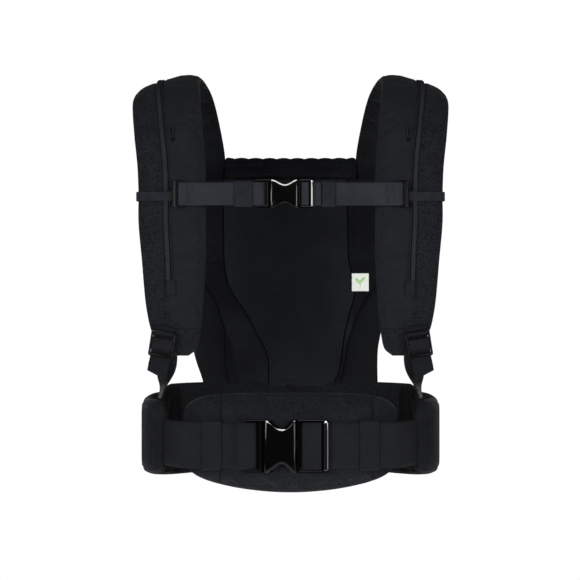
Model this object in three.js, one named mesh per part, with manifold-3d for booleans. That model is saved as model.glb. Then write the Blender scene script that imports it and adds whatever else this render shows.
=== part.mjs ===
// A soft baby carrier in its worn shape: a padded waistbelt with a sliding lumbar pad and a side-release
// buckle, a body panel with a folding neck support, two padded shoulder straps that arch over the
// shoulders, and a chest strap that slides up and down on them.
// Millimetres. +X is the wearer's right, +Y points to the wearer's front, +Z up.
// The origin is the middle of the waist opening, at the height of the waist webbing.

import * as THREE from 'three';
import { mergeVertices } from 'three/addons/utils/BufferGeometryUtils.js';
import Module from 'manifold-3d';

const wasm = await Module();
wasm.setup();

// ---------- driving dimensions ----------
const GAP = 0.3; // clearance between pieces that are pressed together
const LAYER_GAP = 0.5; // clearance between the layers of a pad
const SKIN = 2; // fabric layer with its backing

const BELT_HALF_THICK = 7;
const BELT_TIP = { top: 45, bottom: -34.5 };
const BELT_MIDDLE = { top: 53, bottom: -56 };
// Plan of the belt's middle surface, from the wing tip round to the front centre.
const BELT_PLAN = [
  [137, -98], [150, -79], [158.5, -48], [160, -8], [156, 35], [139, 78], [103, 107], [55, 118], [0, 121],
];

const PANEL = { bottom: 54, padTop: 172, meshLow: 199, top: 300, y: 121, bulge: 20, curl: 14 };
const LEG_PAD = 9; // padding along the leg openings, measured off the panel
// The panel's rows, and for each row how far from the middle its pieces end. The worn panel isn't symmetric:
// the seat liner has pulled over to the wearer's right.
const PANEL_ROWS = [54, 62, 76, 94, 114, 136, 158, 172, 199, 232, 266, 300];
const PANEL_LINES = {
  left: {
    edge: [106.5, 109, 114, 118.5, 118.5, 118, 116, 115, 113, 113, 113, 113],
    pad: [76, 78, 80, 80.5, 81, 87, 95.5, 106, 112, 112, 112, 112],
    liner: [26, 26, 26.3, 31.5, 42.5, 54, 68.5, 76, 81, 81.5, 81.5, 81.5],
  },
  right: {
    edge: [106, 106, 106, 106, 106.5, 107.5, 109.5, 111, 113, 113, 113, 113],
    pad: [61, 64, 67, 70, 75, 83, 96, 106, 112, 112, 112, 112],
    liner: [53.5, 58, 61, 63.5, 66.5, 72, 78, 79, 71.5, 70, 69, 68.5],
  },
};
const LABEL = { low: 163.5, high: 185.5, near: 72, far: 96, lift: -5.4 };
const NECK = { bottom: 300.6, top: 326, halfWidth: 78.2, thick: 17, y: 117 };

const STRAP_THICK = { middle: 12, edge: 7 };
const STRAP_STEPS = 25;
// The right shoulder strap's inner surface, from its lobe's tip over the shoulder to the panel's corner.
// Each station is the inner edge's x, the outer edge's x, their y, the inner edge's z and the outer edge's z.
const STRAP_STATIONS = [
  [111, 126, -86, 93, 93], [103, 141, -85, 100, 101], [99, 151, -84, 116, 117], [96, 157.5, -83, 143, 143],
  [92.5, 163, -83, 200, 200], [92.5, 166.5, -83, 240, 240], [92.5, 166.5, -83, 270, 270],
  [93, 167.5, -83, 300, 298], [97, 172, -73, 345, 335], [101, 176, -47, 388, 369], [101, 175.5, -3, 404, 382],
  [91.5, 168, 42, 390, 372], [84, 143, 84, 357, 345], [79.6, 122, 110, 324, 320], [79.6, 117, 115, 301, 301],
];
const STRAIGHT_STATION = STRAP_STATIONS[6]; // the strap is straight here, where its band slides

const RAIL = { width: 7, thick: 2, across: 0.14, from: 6, to: 20 }; // from and to count the strap's steps
const RAIL_LOOP = { at: 0.557, across: -0.12, halfWide: 3.6, halfHigh: 8, cord: 1.6 };
const CHEST = { z: 269, y: -109 };
const BAND = { height: 10, thick: 1.2, z: 267 };
const SLIDER = { x: 122, y: -104.6, width: 10, height: 30, thick: 3, bar: 1.3 };

const ADJUSTER = {
  x: 138, y: -103, z: 113, width: 27.5, height: 29, thick: 3.4, lean: 9,
  slots: [[0, 5], [-6.5, -3.5], [-17, -9.8]], tailTwist: 19,
};

const PAD = {
  halfLength: 115, reach: 117, top: 54.5, bottom: 52.5, inner: -113.9, thick: 20, endThick: 9, edge: 7,
  flat: 60, wrap: 0.0035,
};
const PAD_WEBBING = { y: -137.8, slope: 0.12, straightTo: 108 }; // the waist webbing over the pad

const WAIST_BUCKLE = {
  y: -143.2, z: 0, web: 50, webThick: 2.2, height: 56, bodyHalf: 7, frameHalf: 3.5, barHalf: 1.5,
  barLeft: -47, slotLeft: -42, slotRight: -31, bodyLeft: -28, bodyRight: 6, waistX: -9, waistDepth: 10.5,
  frameRight: 40, bar: [15, 21], endBar: 6, loopEnd: 41, tip: -17.5,
};
const CHEST_BUCKLE = {
  y: CHEST.y, z: CHEST.z, web: 25, webThick: 1.6, height: 31, bodyHalf: 5.2, frameHalf: 3, barHalf: 1.3,
  barLeft: -37, slotLeft: -33, slotRight: -25, bodyLeft: -22, bodyRight: 8, waistX: -6, waistDepth: 6,
  frameRight: 24, bar: [14, 17], endBar: 3, loopEnd: 33, tip: -14,
};
const PRONG_INSET = 3; // from a buckle's faces to its prongs and tongue
const KEEPER_WALL = 1;
const KEEPER = { x: 84, length: 21, inner: 4.6 };

const COLOURS = {
  knit: 0x1b1d22, smooth: 0x25272b, liner: 0x17181c, web: 0x2d2f34, foam: 0x555555,
  plastic: 0x060606, label: 0xe8efe0, elastic: 0x26282d,
};

// ---------- helpers ----------
const carrier = new THREE.Group();
const point = (x, y, z) => new THREE.Vector3(x, y, z);

// What `make` gives at steps + 1 even shares from 0 to 1.
const evenly = (steps, make) => Array.from({ length: steps + 1 }, (_, i) => make(i / steps));

function addNode(name, geometry, colour, roughness = 0.85) {
  const material = new THREE.MeshStandardMaterial({ color: colour, roughness, metalness: 0 });
  const mesh = new THREE.Mesh(geometry, material);
  mesh.name = name;
  carrier.add(mesh);
}

function signedVolume(positions, triangles) {
  let volume = 0;
  for (let i = 0; i < triangles.length; i += 3) {
    const [a, b, c] = [0, 1, 2].map((k) => positions[triangles[i + k]]);
    volume += a.dot(b.clone().cross(c)) / 6;
  }
  return volume;
}

function solid(positions, triangles) {
  const ordered = signedVolume(positions, triangles) > 0 ? triangles : [...triangles].reverse();
  const numbers = positions.flatMap((p) => [p.x, p.y, p.z]);
  const geometry = new THREE.BufferGeometry();
  geometry.setAttribute('position', new THREE.Float32BufferAttribute(numbers, 3));
  geometry.setIndex(ordered);
  return geometry;
}

// A closed body through rings of equal count. An open run is capped by zipping each end ring's two sides
// together; a looped run joins its last ring to its first.
function loft(rings, looped = false) {
  const count = rings[0].length;
  const triangles = [];
  const quad = (a, b, c, d) => triangles.push(a, b, c, a, c, d);
  const spans = looped ? rings.length : rings.length - 1;
  for (let r = 0; r < spans; r += 1) {
    const here = r * count;
    const next = ((r + 1) % rings.length) * count;
    for (let i = 0; i < count; i += 1) {
      const j = (i + 1) % count;
      // Both sides split each quad along the same diagonal, so that stacked layers stay parallel.
      if (i < count / 2) quad(here + i, here + j, next + j, next + i);
      else quad(here + j, next + j, next + i, here + i);
    }
  }
  if (!looped) {
    const last = (rings.length - 1) * count;
    for (let i = 0; i < count / 2 - 1; i += 1) {
      quad(i, count - 1 - i, count - 2 - i, i + 1);
      quad(last + i, last + i + 1, last + count - 2 - i, last + count - 1 - i);
    }
  }
  return solid(rings.flat(), triangles);
}

// One ring of a padded layer: from low(u) to high(u) above the base line, u running -1 to 1 across the width.
function layerRing(frame, low, high, samples) {
  const { base, across, out, width } = frame;
  const side = (height) => evenly(samples, (share) => {
    const u = 2 * share - 1;
    const along = base.clone().addScaledVector(across, (u * width) / 2);
    return along.addScaledVector(out, height(u, frame));
  });
  return [...side(high), ...side(low).reverse()];
}

function layer(frames, low, high, samples = 4) {
  return loft(frames.map((frame) => layerRing(frame, low, high, samples)));
}

// A flat ribbon that follows a path, its width along `across` (a vector or a function of the fraction).
function ribbon(path, across, width, thick, looped = false) {
  const last = path.length - 1;
  const rings = path.map((p, i) => {
    const before = path[looped ? (i + last) % path.length : Math.max(i - 1, 0)];
    const after = path[looped ? (i + 1) % path.length : Math.min(i + 1, last)];
    const wide = typeof across === 'function' ? across(i / last) : across;
    const along = after.clone().sub(before).normalize();
    const out = along.clone().cross(wide).normalize();
    const frame = { base: p, across: wide, out, width };
    return layerRing(frame, () => -thick / 2, () => thick / 2, 1);
  });
  return loft(rings, looped);
}

const smoothCurve = (points) => new THREE.CatmullRomCurve3(points, false, 'centripetal');
const smoothPath = (points, steps) => smoothCurve(points).getPoints(steps);

// Half a turn in the XY plane, from below the centre round its `side` (-1 left, 1 right) to above it.
function halfTurn(x, y, z, radius, side, startY, steps = 6) {
  return evenly(steps, (share) => {
    const angle = Math.PI * share;
    return point(x + side * radius * Math.sin(angle), y + startY * radius * Math.cos(angle), z);
  });
}

function toManifold(geometry) {
  const bare = geometry.clone();
  bare.deleteAttribute('normal');
  bare.deleteAttribute('uv');
  const merged = mergeVertices(bare, 1e-4);
  return new wasm.Manifold(new wasm.Mesh({
    numProp: 3,
    vertProperties: new Float32Array(merged.attributes.position.array),
    triVerts: new Uint32Array(merged.index.array),
  }));
}

function fromManifold(body) {
  const mesh = body.getMesh();
  const geometry = new THREE.BufferGeometry();
  geometry.setAttribute('position', new THREE.Float32BufferAttribute(mesh.vertProperties, 3));
  geometry.setIndex(new THREE.Uint32BufferAttribute(mesh.triVerts, 1));
  return geometry;
}

// A plate drawn in X and Z and thickened along Y, from yFront to yBack.
function plate(outline, yFront, yBack) {
  const depth = yBack - yFront;
  const geometry = new THREE.ExtrudeGeometry(outline, { depth, bevelEnabled: false, curveSegments: 5 });
  geometry.rotateX(Math.PI / 2);
  geometry.translate(0, yBack, 0);
  return toManifold(geometry);
}

function block(x0, x1, y0, y1, z0, z1) {
  const geometry = new THREE.BoxGeometry(x1 - x0, y1 - y0, z1 - z0);
  geometry.translate((x0 + x1) / 2, (y0 + y1) / 2, (z0 + z1) / 2);
  return toManifold(geometry);
}

function roundedRect(x0, x1, z0, z1, radius) {
  const shape = new THREE.Shape();
  shape.moveTo(x0 + radius, z0);
  shape.lineTo(x1 - radius, z0);
  shape.absarc(x1 - radius, z0 + radius, radius, -Math.PI / 2, 0, false);
  shape.lineTo(x1, z1 - radius);
  shape.absarc(x1 - radius, z1 - radius, radius, 0, Math.PI / 2, false);
  shape.lineTo(x0 + radius, z1);
  shape.absarc(x0 + radius, z1 - radius, radius, Math.PI / 2, Math.PI, false);
  shape.lineTo(x0, z0 + radius);
  shape.absarc(x0 + radius, z0 + radius, radius, Math.PI, Math.PI * 1.5, false);
  return shape;
}

const mirrorX = (geometry) => {
  const copy = geometry.clone().scale(-1, 1, 1);
  copy.setIndex([...copy.index.array].reverse());
  return copy;
};

function addPair(name, geometry, colour, roughness) {
  addNode(`${name}_right`, geometry, colour, roughness);
  addNode(`${name}_left`, mirrorX(geometry), colour, roughness);
}

// ---------- waistbelt ----------
function beltFrames(steps) {
  const half = BELT_PLAN.map(([x, y]) => point(x, y, 0));
  const plan = [...half, ...half.slice(0, -1).reverse().map((p) => point(-p.x, p.y, 0))];
  const curve = smoothCurve(plan);
  return evenly(steps, (t) => {
    const fromTip = Math.min(t, 1 - t);
    const rise = THREE.MathUtils.smoothstep(fromTip, 0.14, 0.28);
    const fall = THREE.MathUtils.smoothstep(fromTip, 0, 0.3);
    const top = THREE.MathUtils.lerp(BELT_TIP.top, BELT_MIDDLE.top, rise);
    const bottom = THREE.MathUtils.lerp(BELT_TIP.bottom, BELT_MIDDLE.bottom, fall);
    const base = curve.getPointAt(t).setZ((top + bottom) / 2);
    const tangent = curve.getTangentAt(t);
    return { base, across: point(0, 0, 1), out: point(tangent.y, -tangent.x, 0), width: top - bottom };
  });
}

function buildBelt() {
  const frames = beltFrames(24);
  const half = (u) => BELT_HALF_THICK * (1 - 0.35 * u ** 6);
  const foam = (u) => half(u) - SKIN - LAYER_GAP;
  addNode('belt_cover', layer(frames, (u) => half(u) - SKIN, half), COLOURS.knit);
  addNode('belt_foam', layer(frames, (u) => -foam(u), foam), COLOURS.foam);
  addNode('belt_lining', layer(frames, (u) => -half(u), (u) => SKIN - half(u)), COLOURS.knit);
}

// ---------- body panel ----------
function panelY(x, z) {
  const rise = (z - PANEL.bottom) / (PANEL.top - PANEL.bottom);
  const drop = 5 * rise;
  return PANEL.y - drop + PANEL.bulge * Math.sin(Math.PI * rise) - PANEL.curl * Math.abs(x / 105) ** 3;
}

// The x of one of the panel's lines at height z. Every piece has its corners on the same rows, so that the
// pieces' edges stay parallel.
function panelLine(side, kind) {
  const halves = PANEL_LINES[side > 0 ? 'right' : 'left'][kind];
  return (z) => {
    const next = Math.max(1, PANEL_ROWS.findIndex((row) => row >= z));
    const share = (z - PANEL_ROWS[next - 1]) / (PANEL_ROWS[next] - PANEL_ROWS[next - 1]);
    return side * THREE.MathUtils.lerp(halves[next - 1], halves[next], share);
  };
}

// A piece of the panel between two side edges, from `inner` to `outer` measured off the panel's surface.
function panelPiece(z0, z1, left, right, inner, outer, columns) {
  const rows = [z0, ...PANEL_ROWS.filter((row) => row > z0 && row < z1), z1];
  return loft(rows.map((z) => {
    const xs = evenly(columns, (share) => THREE.MathUtils.lerp(left(z), right(z), share));
    const face = (offset) => xs.map((x) => point(x, panelY(x, z) + offset, z));
    return [...face(inner), ...face(outer).reverse()];
  }));
}

function buildPanel() {
  const { bottom, padTop, meshLow, top } = PANEL;
  const outer = -1.2;
  const inner = outer - SKIN;
  const shell = panelPiece(bottom, top, panelLine(-1, 'edge'), panelLine(1, 'edge'), 0, SKIN, 10);
  addNode('panel_shell', shell, COLOURS.knit);
  const liner = panelPiece(bottom, top, panelLine(-1, 'liner'), panelLine(1, 'liner'), inner, outer, 6);
  addNode('panel_liner', liner, COLOURS.liner);
  [-1, 1].forEach((side) => {
    const name = side > 0 ? 'right' : 'left';
    const moved = (kind, by) => (z) => panelLine(side, kind)(z) + side * by;
    const order = (near, far) => (side > 0 ? [near, far] : [far, near]);
    const clear = moved('liner', GAP * 2);
    const seat = order(clear, moved('pad', -GAP * 2));
    addNode(`seat_side_${name}`, panelPiece(bottom, meshLow, ...seat, inner, outer, 2), COLOURS.smooth);
    const pad = order(moved('pad', 0), moved('edge', 0));
    addNode(`leg_pad_${name}`, panelPiece(bottom, padTop, ...pad, -LEG_PAD, outer, 2), COLOURS.knit);
    const strip = order(clear, moved('edge', -1));
    addNode(`side_mesh_${name}`, panelPiece(meshLow + GAP, top, ...strip, inner, outer, 2), COLOURS.knit);
  });
  const { low, high, near, far, lift } = LABEL;
  const label = panelPiece(low, high, () => near, () => far, lift - 0.6, lift, 2);
  addNode('care_label', label, COLOURS.label);
}

function buildNeckSupport() {
  const frames = evenly(6, (share) => {
    const x = NECK.halfWidth * (2 * share - 1);
    const base = point(x, NECK.y - 5 * (x / NECK.halfWidth) ** 2, (NECK.bottom + NECK.top) / 2);
    return { base, across: point(0, 0, 1), out: point(0, -1, 0), width: NECK.top - NECK.bottom };
  });
  const half = (u) => (NECK.thick / 2) * (1 - 0.45 * u ** 4);
  const foam = (u) => half(u) - SKIN - LAYER_GAP;
  addNode('neck_lining', layer(frames, (u) => half(u) - SKIN, half), COLOURS.knit);
  addNode('neck_foam', layer(frames, (u) => -foam(u), foam), COLOURS.foam);
  addNode('neck_cover', layer(frames, (u) => -half(u), (u) => SKIN - half(u)), COLOURS.knit);
}

// ---------- shoulder straps ----------
const strapInner = smoothCurve(STRAP_STATIONS.map(([xi, , y, zi]) => point(xi, y, zi)));
const strapOuter = smoothCurve(STRAP_STATIONS.map(([, xo, y, , zo]) => point(xo, y, zo)));

function strapFrame(t) {
  const inner = strapInner.getPoint(t);
  const outer = strapOuter.getPoint(t);
  const along = strapInner.getTangent(t).add(strapOuter.getTangent(t)).normalize();
  const across = outer.clone().sub(inner);
  const width = across.length();
  across.normalize();
  return { base: inner.lerp(outer, 0.5), across, out: along.cross(across).negate().normalize(), width };
}

const strapHeight = (u) => STRAP_THICK.edge + (STRAP_THICK.middle - STRAP_THICK.edge) * (1 - u ** 4);

function buildStraps() {
  const frames = evenly(STRAP_STEPS, strapFrame);
  const underCover = (u) => strapHeight(u) - SKIN;
  addPair('strap_cover', layer(frames, underCover, strapHeight), COLOURS.smooth);
  const foam = layer(frames, () => SKIN + LAYER_GAP, (u) => underCover(u) - LAYER_GAP);
  addPair('strap_foam', foam, COLOURS.foam);
  addPair('strap_lining', layer(frames, () => 0, () => SKIN), COLOURS.knit);

  const onCover = (frame, lift) => {
    const shift = (RAIL.across * frame.width) / 2;
    const onBase = frame.base.clone().addScaledVector(frame.across, shift);
    return onBase.addScaledVector(frame.out, STRAP_THICK.middle + lift);
  };
  const railFrames = frames.slice(RAIL.from, RAIL.to + 1).map((frame) => (
    { ...frame, base: onCover(frame, 0.8), width: RAIL.width }
  ));
  addPair('rail', layer(railFrames, () => 0, () => RAIL.thick, 1), COLOURS.web);

  // A small elastic loop lies on the cover beside the rail.
  const { at, across, halfWide, halfHigh, cord } = RAIL_LOOP;
  const seat = strapFrame(at);
  const along = seat.out.clone().cross(seat.across);
  const middle = onCover({ ...seat, width: seat.width * (across / RAIL.across) }, 1 + cord / 2);
  const turns = 10;
  const loop = Array.from({ length: turns }, (_, i) => {
    const angle = (2 * Math.PI * i) / turns;
    const sideways = middle.clone().addScaledVector(seat.across, halfWide * Math.cos(angle));
    return sideways.addScaledVector(along, halfHigh * Math.sin(angle));
  });
  addPair('rail_loop', ribbon(loop, seat.out, cord, cord, true), COLOURS.elastic);
}

// ---------- strap adjusters ----------
// Built flat about the top bar's axis, then leaned and moved into place as one.
function buildAdjusters() {
  const { width, height, thick, x, y, z, lean, slots, tailTwist } = ADJUSTER;
  const web = width - 4;
  const place = (geometry) => {
    const turn = new THREE.Matrix4().makeRotationY(THREE.MathUtils.degToRad(-lean));
    return geometry.applyMatrix4(turn).translate(x, y, z);
  };
  const body = plate(roundedRect(-width / 2, width / 2, -height + 8, 8, 2.5), -thick / 2, thick / 2);
  const cut = (plain, [z0, z1]) => (
    plain.subtract(block(-web / 2 - 0.5, web / 2 + 0.5, -thick, thick, z0, z1))
  );
  const ladder = slots.reduce(cut, body);
  addPair('adjuster', place(fromManifold(ladder)), COLOURS.plastic, 0.3);

  const across = point(1, 0, 0);
  const tab = [point(0, 5.4, 13), point(0, 3.6, 10), ...tabTurn(slots[0][1] + 1.2, 3)];
  addPair('adjuster_tab', place(ribbon(tab, across, web, 1.4)), COLOURS.web);

  // The tail crosses the ladder's bars in front, goes through its lowest slot and hangs down behind.
  const tailLine = [
    point(0, -2.75, -1.5), point(0, -2.75, -10.2), point(0, 0, -13.3), point(0, 2.75, -16.4),
    point(0, 2.6, -22), point(0.3, 0, -29), point(0.9, -3, -40.5),
  ];
  const swing = (f) => {
    const angle = THREE.MathUtils.degToRad(tailTwist) * THREE.MathUtils.smoothstep(f, 0.55, 1);
    return point(Math.cos(angle), 0, Math.sin(angle));
  };
  addPair('adjuster_tail', place(ribbon(smoothPath(tailLine, 18), swing, web, 1.5)), COLOURS.web);

  // The run starts facing the back and twists edge-on before it meets the wing's top edge.
  const runLine = [point(134, -93, 91), point(135, -90, 80), point(139, -86, 62), point(142.5, -87.5, 47.5)];
  const start = point(1, 0, -0.15).normalize();
  const end = point(0.25, 0.97, 0);
  const twist = (f) => start.clone().lerp(end, THREE.MathUtils.smoothstep(f, 0.15, 0.95)).normalize();
  addPair('adjuster_webbing', ribbon(smoothPath(runLine, 12), twist, web - 3, 1.5), COLOURS.web);
}

// The tab's webbing goes down behind the top bar, through the slot and up in front of it.
function tabTurn(z, radius) {
  return evenly(6, (share) => {
    const angle = Math.PI * share;
    return point(0, radius * Math.cos(angle), z - radius * Math.sin(angle));
  });
}

// ---------- side-release buckles ----------
function femaleOutline(b) {
  const half = b.height / 2;
  const dip = half - b.waistDepth;
  const shape = new THREE.Shape();
  const reach = 13;
  shape.moveTo(b.barLeft + 2, -half + 1);
  shape.lineTo(b.bodyLeft, -half);
  shape.lineTo(b.waistX - reach, -half);
  shape.bezierCurveTo(b.waistX - 5, -half, b.waistX - 8, -dip, b.waistX, -dip);
  shape.bezierCurveTo(b.waistX + 8, -dip, b.waistX + 5, -half, b.bodyRight - 2, -half);
  shape.lineTo(b.bodyRight, -half + 2);
  shape.lineTo(b.bodyRight, half - 2);
  shape.lineTo(b.bodyRight - 2, half);
  shape.bezierCurveTo(b.waistX + 5, half, b.waistX + 8, dip, b.waistX, dip);
  shape.bezierCurveTo(b.waistX - 8, dip, b.waistX - 5, half, b.waistX - reach, half);
  shape.lineTo(b.bodyLeft, half);
  shape.lineTo(b.barLeft + 2, half - 1);
  shape.lineTo(b.barLeft, half - 3);
  shape.lineTo(b.barLeft, -half + 3);
  return shape;
}

function femaleHalf(b) {
  const faceWall = 1.8;
  const socketHalf = b.height / 2 - 2.6;
  const socketDepth = b.bodyHalf - faceWall;
  const webHalf = b.web / 2 + 0.7;
  return plate(femaleOutline(b), -b.bodyHalf, b.bodyHalf)
    .subtract(block(b.slotLeft, b.slotRight, -20, 20, -webHalf, webHalf))
    .subtract(block(b.barLeft - 1, b.slotLeft + 1, -20, -b.barHalf, -webHalf, webHalf))
    .subtract(block(b.barLeft - 1, b.slotLeft + 1, b.barHalf, 20, -webHalf, webHalf))
    .subtract(block(b.bodyLeft + 4, b.bodyRight + 1, -socketDepth, socketDepth, -socketHalf, socketHalf));
}

function maleFrame(b) {
  const half = b.height / 2;
  const webHalf = b.web / 2 + 0.7;
  const left = b.bodyRight + 0.5;
  const [barLeft, barRight] = b.bar;
  const endBar = b.frameRight - b.endBar;
  const thin = b.bodyHalf - PRONG_INSET;
  const tongue = block(b.tip + 1.5, left + 1, -thin, thin, -half * 0.2, half * 0.2);
  return plate(roundedRect(left, b.frameRight, -half, half, 3), -b.frameHalf, b.frameHalf)
    .subtract(block(left + 2.5, barLeft, -20, 20, -webHalf, webHalf))
    .subtract(block(barRight, endBar, -20, 20, -webHalf, webHalf))
    .subtract(block(barLeft - 1, barRight + 1, -20, -b.barHalf, -webHalf, webHalf))
    .subtract(block(barLeft - 1, b.frameRight + 1, b.barHalf, 20, -webHalf, webHalf))
    .add(tongue);
}

// The upper spring prong: an arm whose outer edge is flush with the waisted thumb grip, and a head behind it.
function prongOutline(b) {
  const half = b.height / 2;
  const root = b.bodyRight - 0.4;
  const grip = half - b.waistDepth - 0.5;
  return new THREE.Shape([
    [root, half * 0.4], [root, half * 0.58], [b.waistX + 6, grip + 1], [b.waistX, grip],
    [b.waistX - 4, grip + 1.5], [b.tip + 1, half * 0.78], [b.tip, half * 0.74], [b.tip, half * 0.5],
    [b.waistX, grip - 4],
  ].map(([x, z]) => new THREE.Vector2(x, z)));
}

// The webbing that passes round the male half's middle bar and out behind its end bar.
function barLoop(b) {
  const offset = b.barHalf + GAP + b.webThick / 2;
  const [barLeft, barRight] = b.bar;
  const x = barLeft + 0.6;
  const front = point(b.frameRight - b.endBar - 1.5, -offset, 0);
  const turn = halfTurn(x, 0, 0, offset, -1, -1);
  const path = [front, point(barRight, -offset, 0), ...turn, point(b.loopEnd, offset, 0)];
  return ribbon(path, point(0, 0, 1), b.web, b.webThick);
}

function buildBuckle(name, b) {
  const place = (geometry) => geometry.translate(0, b.y, b.z);
  addNode(`${name}_female`, place(fromManifold(femaleHalf(b))), COLOURS.plastic, 0.25);
  addNode(`${name}_male`, place(fromManifold(maleFrame(b))), COLOURS.plastic, 0.25);
  const prong = fromManifold(plate(prongOutline(b), -b.bodyHalf + PRONG_INSET, b.bodyHalf - PRONG_INSET));
  const lower = prong.clone().scale(1, 1, -1);
  lower.setIndex([...lower.index.array].reverse());
  addNode(`${name}_prong_upper`, place(prong), COLOURS.plastic, 0.25);
  addNode(`${name}_prong_lower`, place(lower), COLOURS.plastic, 0.25);
  addNode(`${name}_bar_loop`, place(barLoop(b)), COLOURS.web);
}

// Webbing sewn round the female half's bar: in front of the bar, through its slot, back behind it.
function femaleWrap(b) {
  const offset = b.barHalf + GAP + b.webThick / 2;
  const x = b.slotLeft - 0.6;
  const turn = halfTurn(x, b.y, b.z, offset, 1, -1);
  return [...turn, point(b.barLeft - 12, b.y + offset, b.z)];
}

// A flat sleeve round webbing that runs along X: `inner` is its free space in Y, `high` its free height.
function sleeve({ x, length, y, z, inner, high, slope = 0 }) {
  const rect = (grow) => {
    const [dy, dz] = [inner / 2 + grow, high / 2 + grow];
    return [[-dy, -dz], [dy, -dz], [dy, dz], [-dy, dz]].map(([u, v]) => new THREE.Vector2(u, v));
  };
  const ring = new THREE.Shape(rect(KEEPER_WALL));
  ring.holes.push(new THREE.Path(rect(0)));
  const geometry = new THREE.ExtrudeGeometry(ring, { depth: length, bevelEnabled: false });
  geometry.applyMatrix4(new THREE.Matrix4().makeBasis(point(0, 1, 0), point(0, 0, 1), point(1, 0, 0)));
  geometry.translate(-length / 2, 0, 0);
  geometry.rotateZ(slope);
  geometry.translate(x, y, z);
  return fromManifold(toManifold(geometry));
}

// ---------- chest strap ----------
function buildBands() {
  const [x0, x1] = STRAIGHT_STATION;
  const outline = [
    [x0 - 1.9, -86], [x0 + 0.5, -94.5], [x0 + 12, -98.7], [x1 - 12, -98.7], [x1 - 0.5, -94.5],
    [x1 + 1.9, -86], [x1 + 1.2, -82.2], [x1 - 3, -80.8], [x0 + 3, -80.8], [x0 - 1.2, -82.2],
  ].map(([x, y]) => point(x, y, BAND.z));
  const path = new THREE.CatmullRomCurve3(outline, true, 'centripetal').getPoints(24).slice(0, -1);
  addPair('strap_band', ribbon(path, point(0, 0, 1), BAND.height, BAND.thick, true), COLOURS.elastic);
}

function buildSliders() {
  const { x, width, height, thick, y } = SLIDER;
  const [z0, z1] = [CHEST.z - height / 2, CHEST.z + height / 2];
  const left = x - width / 2;
  const right = x + width / 2;
  const body = plate(roundedRect(left, right, z0, z1, 2), y - thick / 2, y + thick / 2)
    .subtract(block(left + 2.6, left + 6.2, y - 9, y + 9, z0 + 2.3, z1 - 2.3))
    .subtract(block(left - 1, left + 3, y - 9, y - SLIDER.bar, z0 + 2.3, z1 - 2.3))
    .subtract(block(left - 1, left + 3, y + SLIDER.bar, y + 9, z0 + 2.3, z1 - 2.3))
    .add(block(right - 2.6, right, y, -101.2, BAND.z - BAND.height / 2, BAND.z + BAND.height / 2));
  addPair('chest_slider', fromManifold(body), COLOURS.plastic, 0.5);
}

// Webbing sewn round a slider's bar, from its short back layer to the front layer; side is 1 on the right.
function sliderWrap(side) {
  const { webThick, z } = CHEST_BUCKLE;
  const radius = SLIDER.bar + GAP + webThick / 2;
  const barEdge = SLIDER.x - SLIDER.width / 2 + 2.6 - 0.6;
  const turn = halfTurn(side * barEdge, SLIDER.y, z, radius, side, 1);
  return [point(side * 98, SLIDER.y + radius, z), ...turn];
}

function buildChestStrap() {
  const b = CHEST_BUCKLE;
  const backY = b.y + b.frameHalf + GAP + 1.1; // the right webbing passes behind the male half
  const up = point(0, 0, 1);
  const front = SLIDER.y - SLIDER.bar - GAP - b.webThick / 2;
  const toBuckle = [[108, front], [90, backY], [72, backY], [b.bodyRight + 1.2, backY]];
  const right = [...sliderWrap(1), ...smoothPath(toBuckle.map(([x, y]) => point(x, y, b.z)), 8)];
  addNode('chest_webbing_right', ribbon(right, up, b.web, b.webThick), COLOURS.web);
  const wrap = femaleWrap(b);
  const toBar = [[-108, front], [-85, b.y], [-60, wrap[0].y + 0.4], [-48, wrap[0].y]];
  const left = [...sliderWrap(-1), ...smoothPath(toBar.map(([x, y]) => point(x, y, b.z)), 8), ...wrap];
  addNode('chest_webbing_left', ribbon(left, up, b.web, b.webThick), COLOURS.web);
  const shared = { z: b.z, high: b.web + 1 };
  const leftKeeper = sleeve({ ...shared, x: -51, length: 20, y: b.y - 0.2, inner: 8 });
  addNode('chest_keeper_left', leftKeeper, COLOURS.elastic);
  const rightKeeper = sleeve({ ...shared, x: 41, length: 14, y: backY - 1, inner: 4.6 });
  addNode('chest_keeper_right', rightKeeper, COLOURS.elastic);
  buildBuckle('chest_buckle', b);
}

// ---------- waist webbing and lumbar pad ----------
const beyondFlat = (x) => Math.max(0, Math.abs(x) - PAD.flat);
const padInner = (x) => PAD.inner + PAD.wrap * beyondFlat(x) ** 2;
const toEnd = (x) => beyondFlat(x) / (PAD.halfLength - PAD.flat);
const padThick = (x) => PAD.thick - (PAD.thick - PAD.endThick) * toEnd(x) ** 2;
const runY = (x) => PAD_WEBBING.y + PAD_WEBBING.slope * beyondFlat(x);

function buildWaistWebbing() {
  const b = WAIST_BUCKLE;
  const up = point(0, 0, 1);
  const [tipX, tipY] = BELT_PLAN[0];
  const straight = [PAD.flat, PAD_WEBBING.straightTo].map((x) => point(x, runY(x), 0));
  const bend = [point(116, -129.2, 0), point(125, -117.5, 0), point(tipX - 1.2, tipY - 1.7, 0)];
  const toTip = [straight[0], ...smoothPath([straight[1], ...bend], 10)];
  const right = [point(b.bodyRight + 3, runY(0), 0), ...toTip];
  addNode('waist_webbing_right', ribbon(right, up, b.web, b.webThick), COLOURS.web);
  const wrap = femaleWrap(b);
  const rise = smoothPath([
    point(-PAD.flat - 5, runY(PAD.flat + 5), 0), point(-61, runY(0) - 1.2, 0), point(-54, wrap[0].y + 1, 0),
    point(-49, wrap[0].y, 0),
  ], 6);
  const overLeft = toTip.slice(1).reverse().map((p) => point(-p.x, p.y, 0));
  const left = [...overLeft, ...rise, ...wrap];
  addNode('waist_webbing_left', ribbon(left, up, b.web, b.webThick), COLOURS.web);
  buildBuckle('waist_buckle', b);
}

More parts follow.
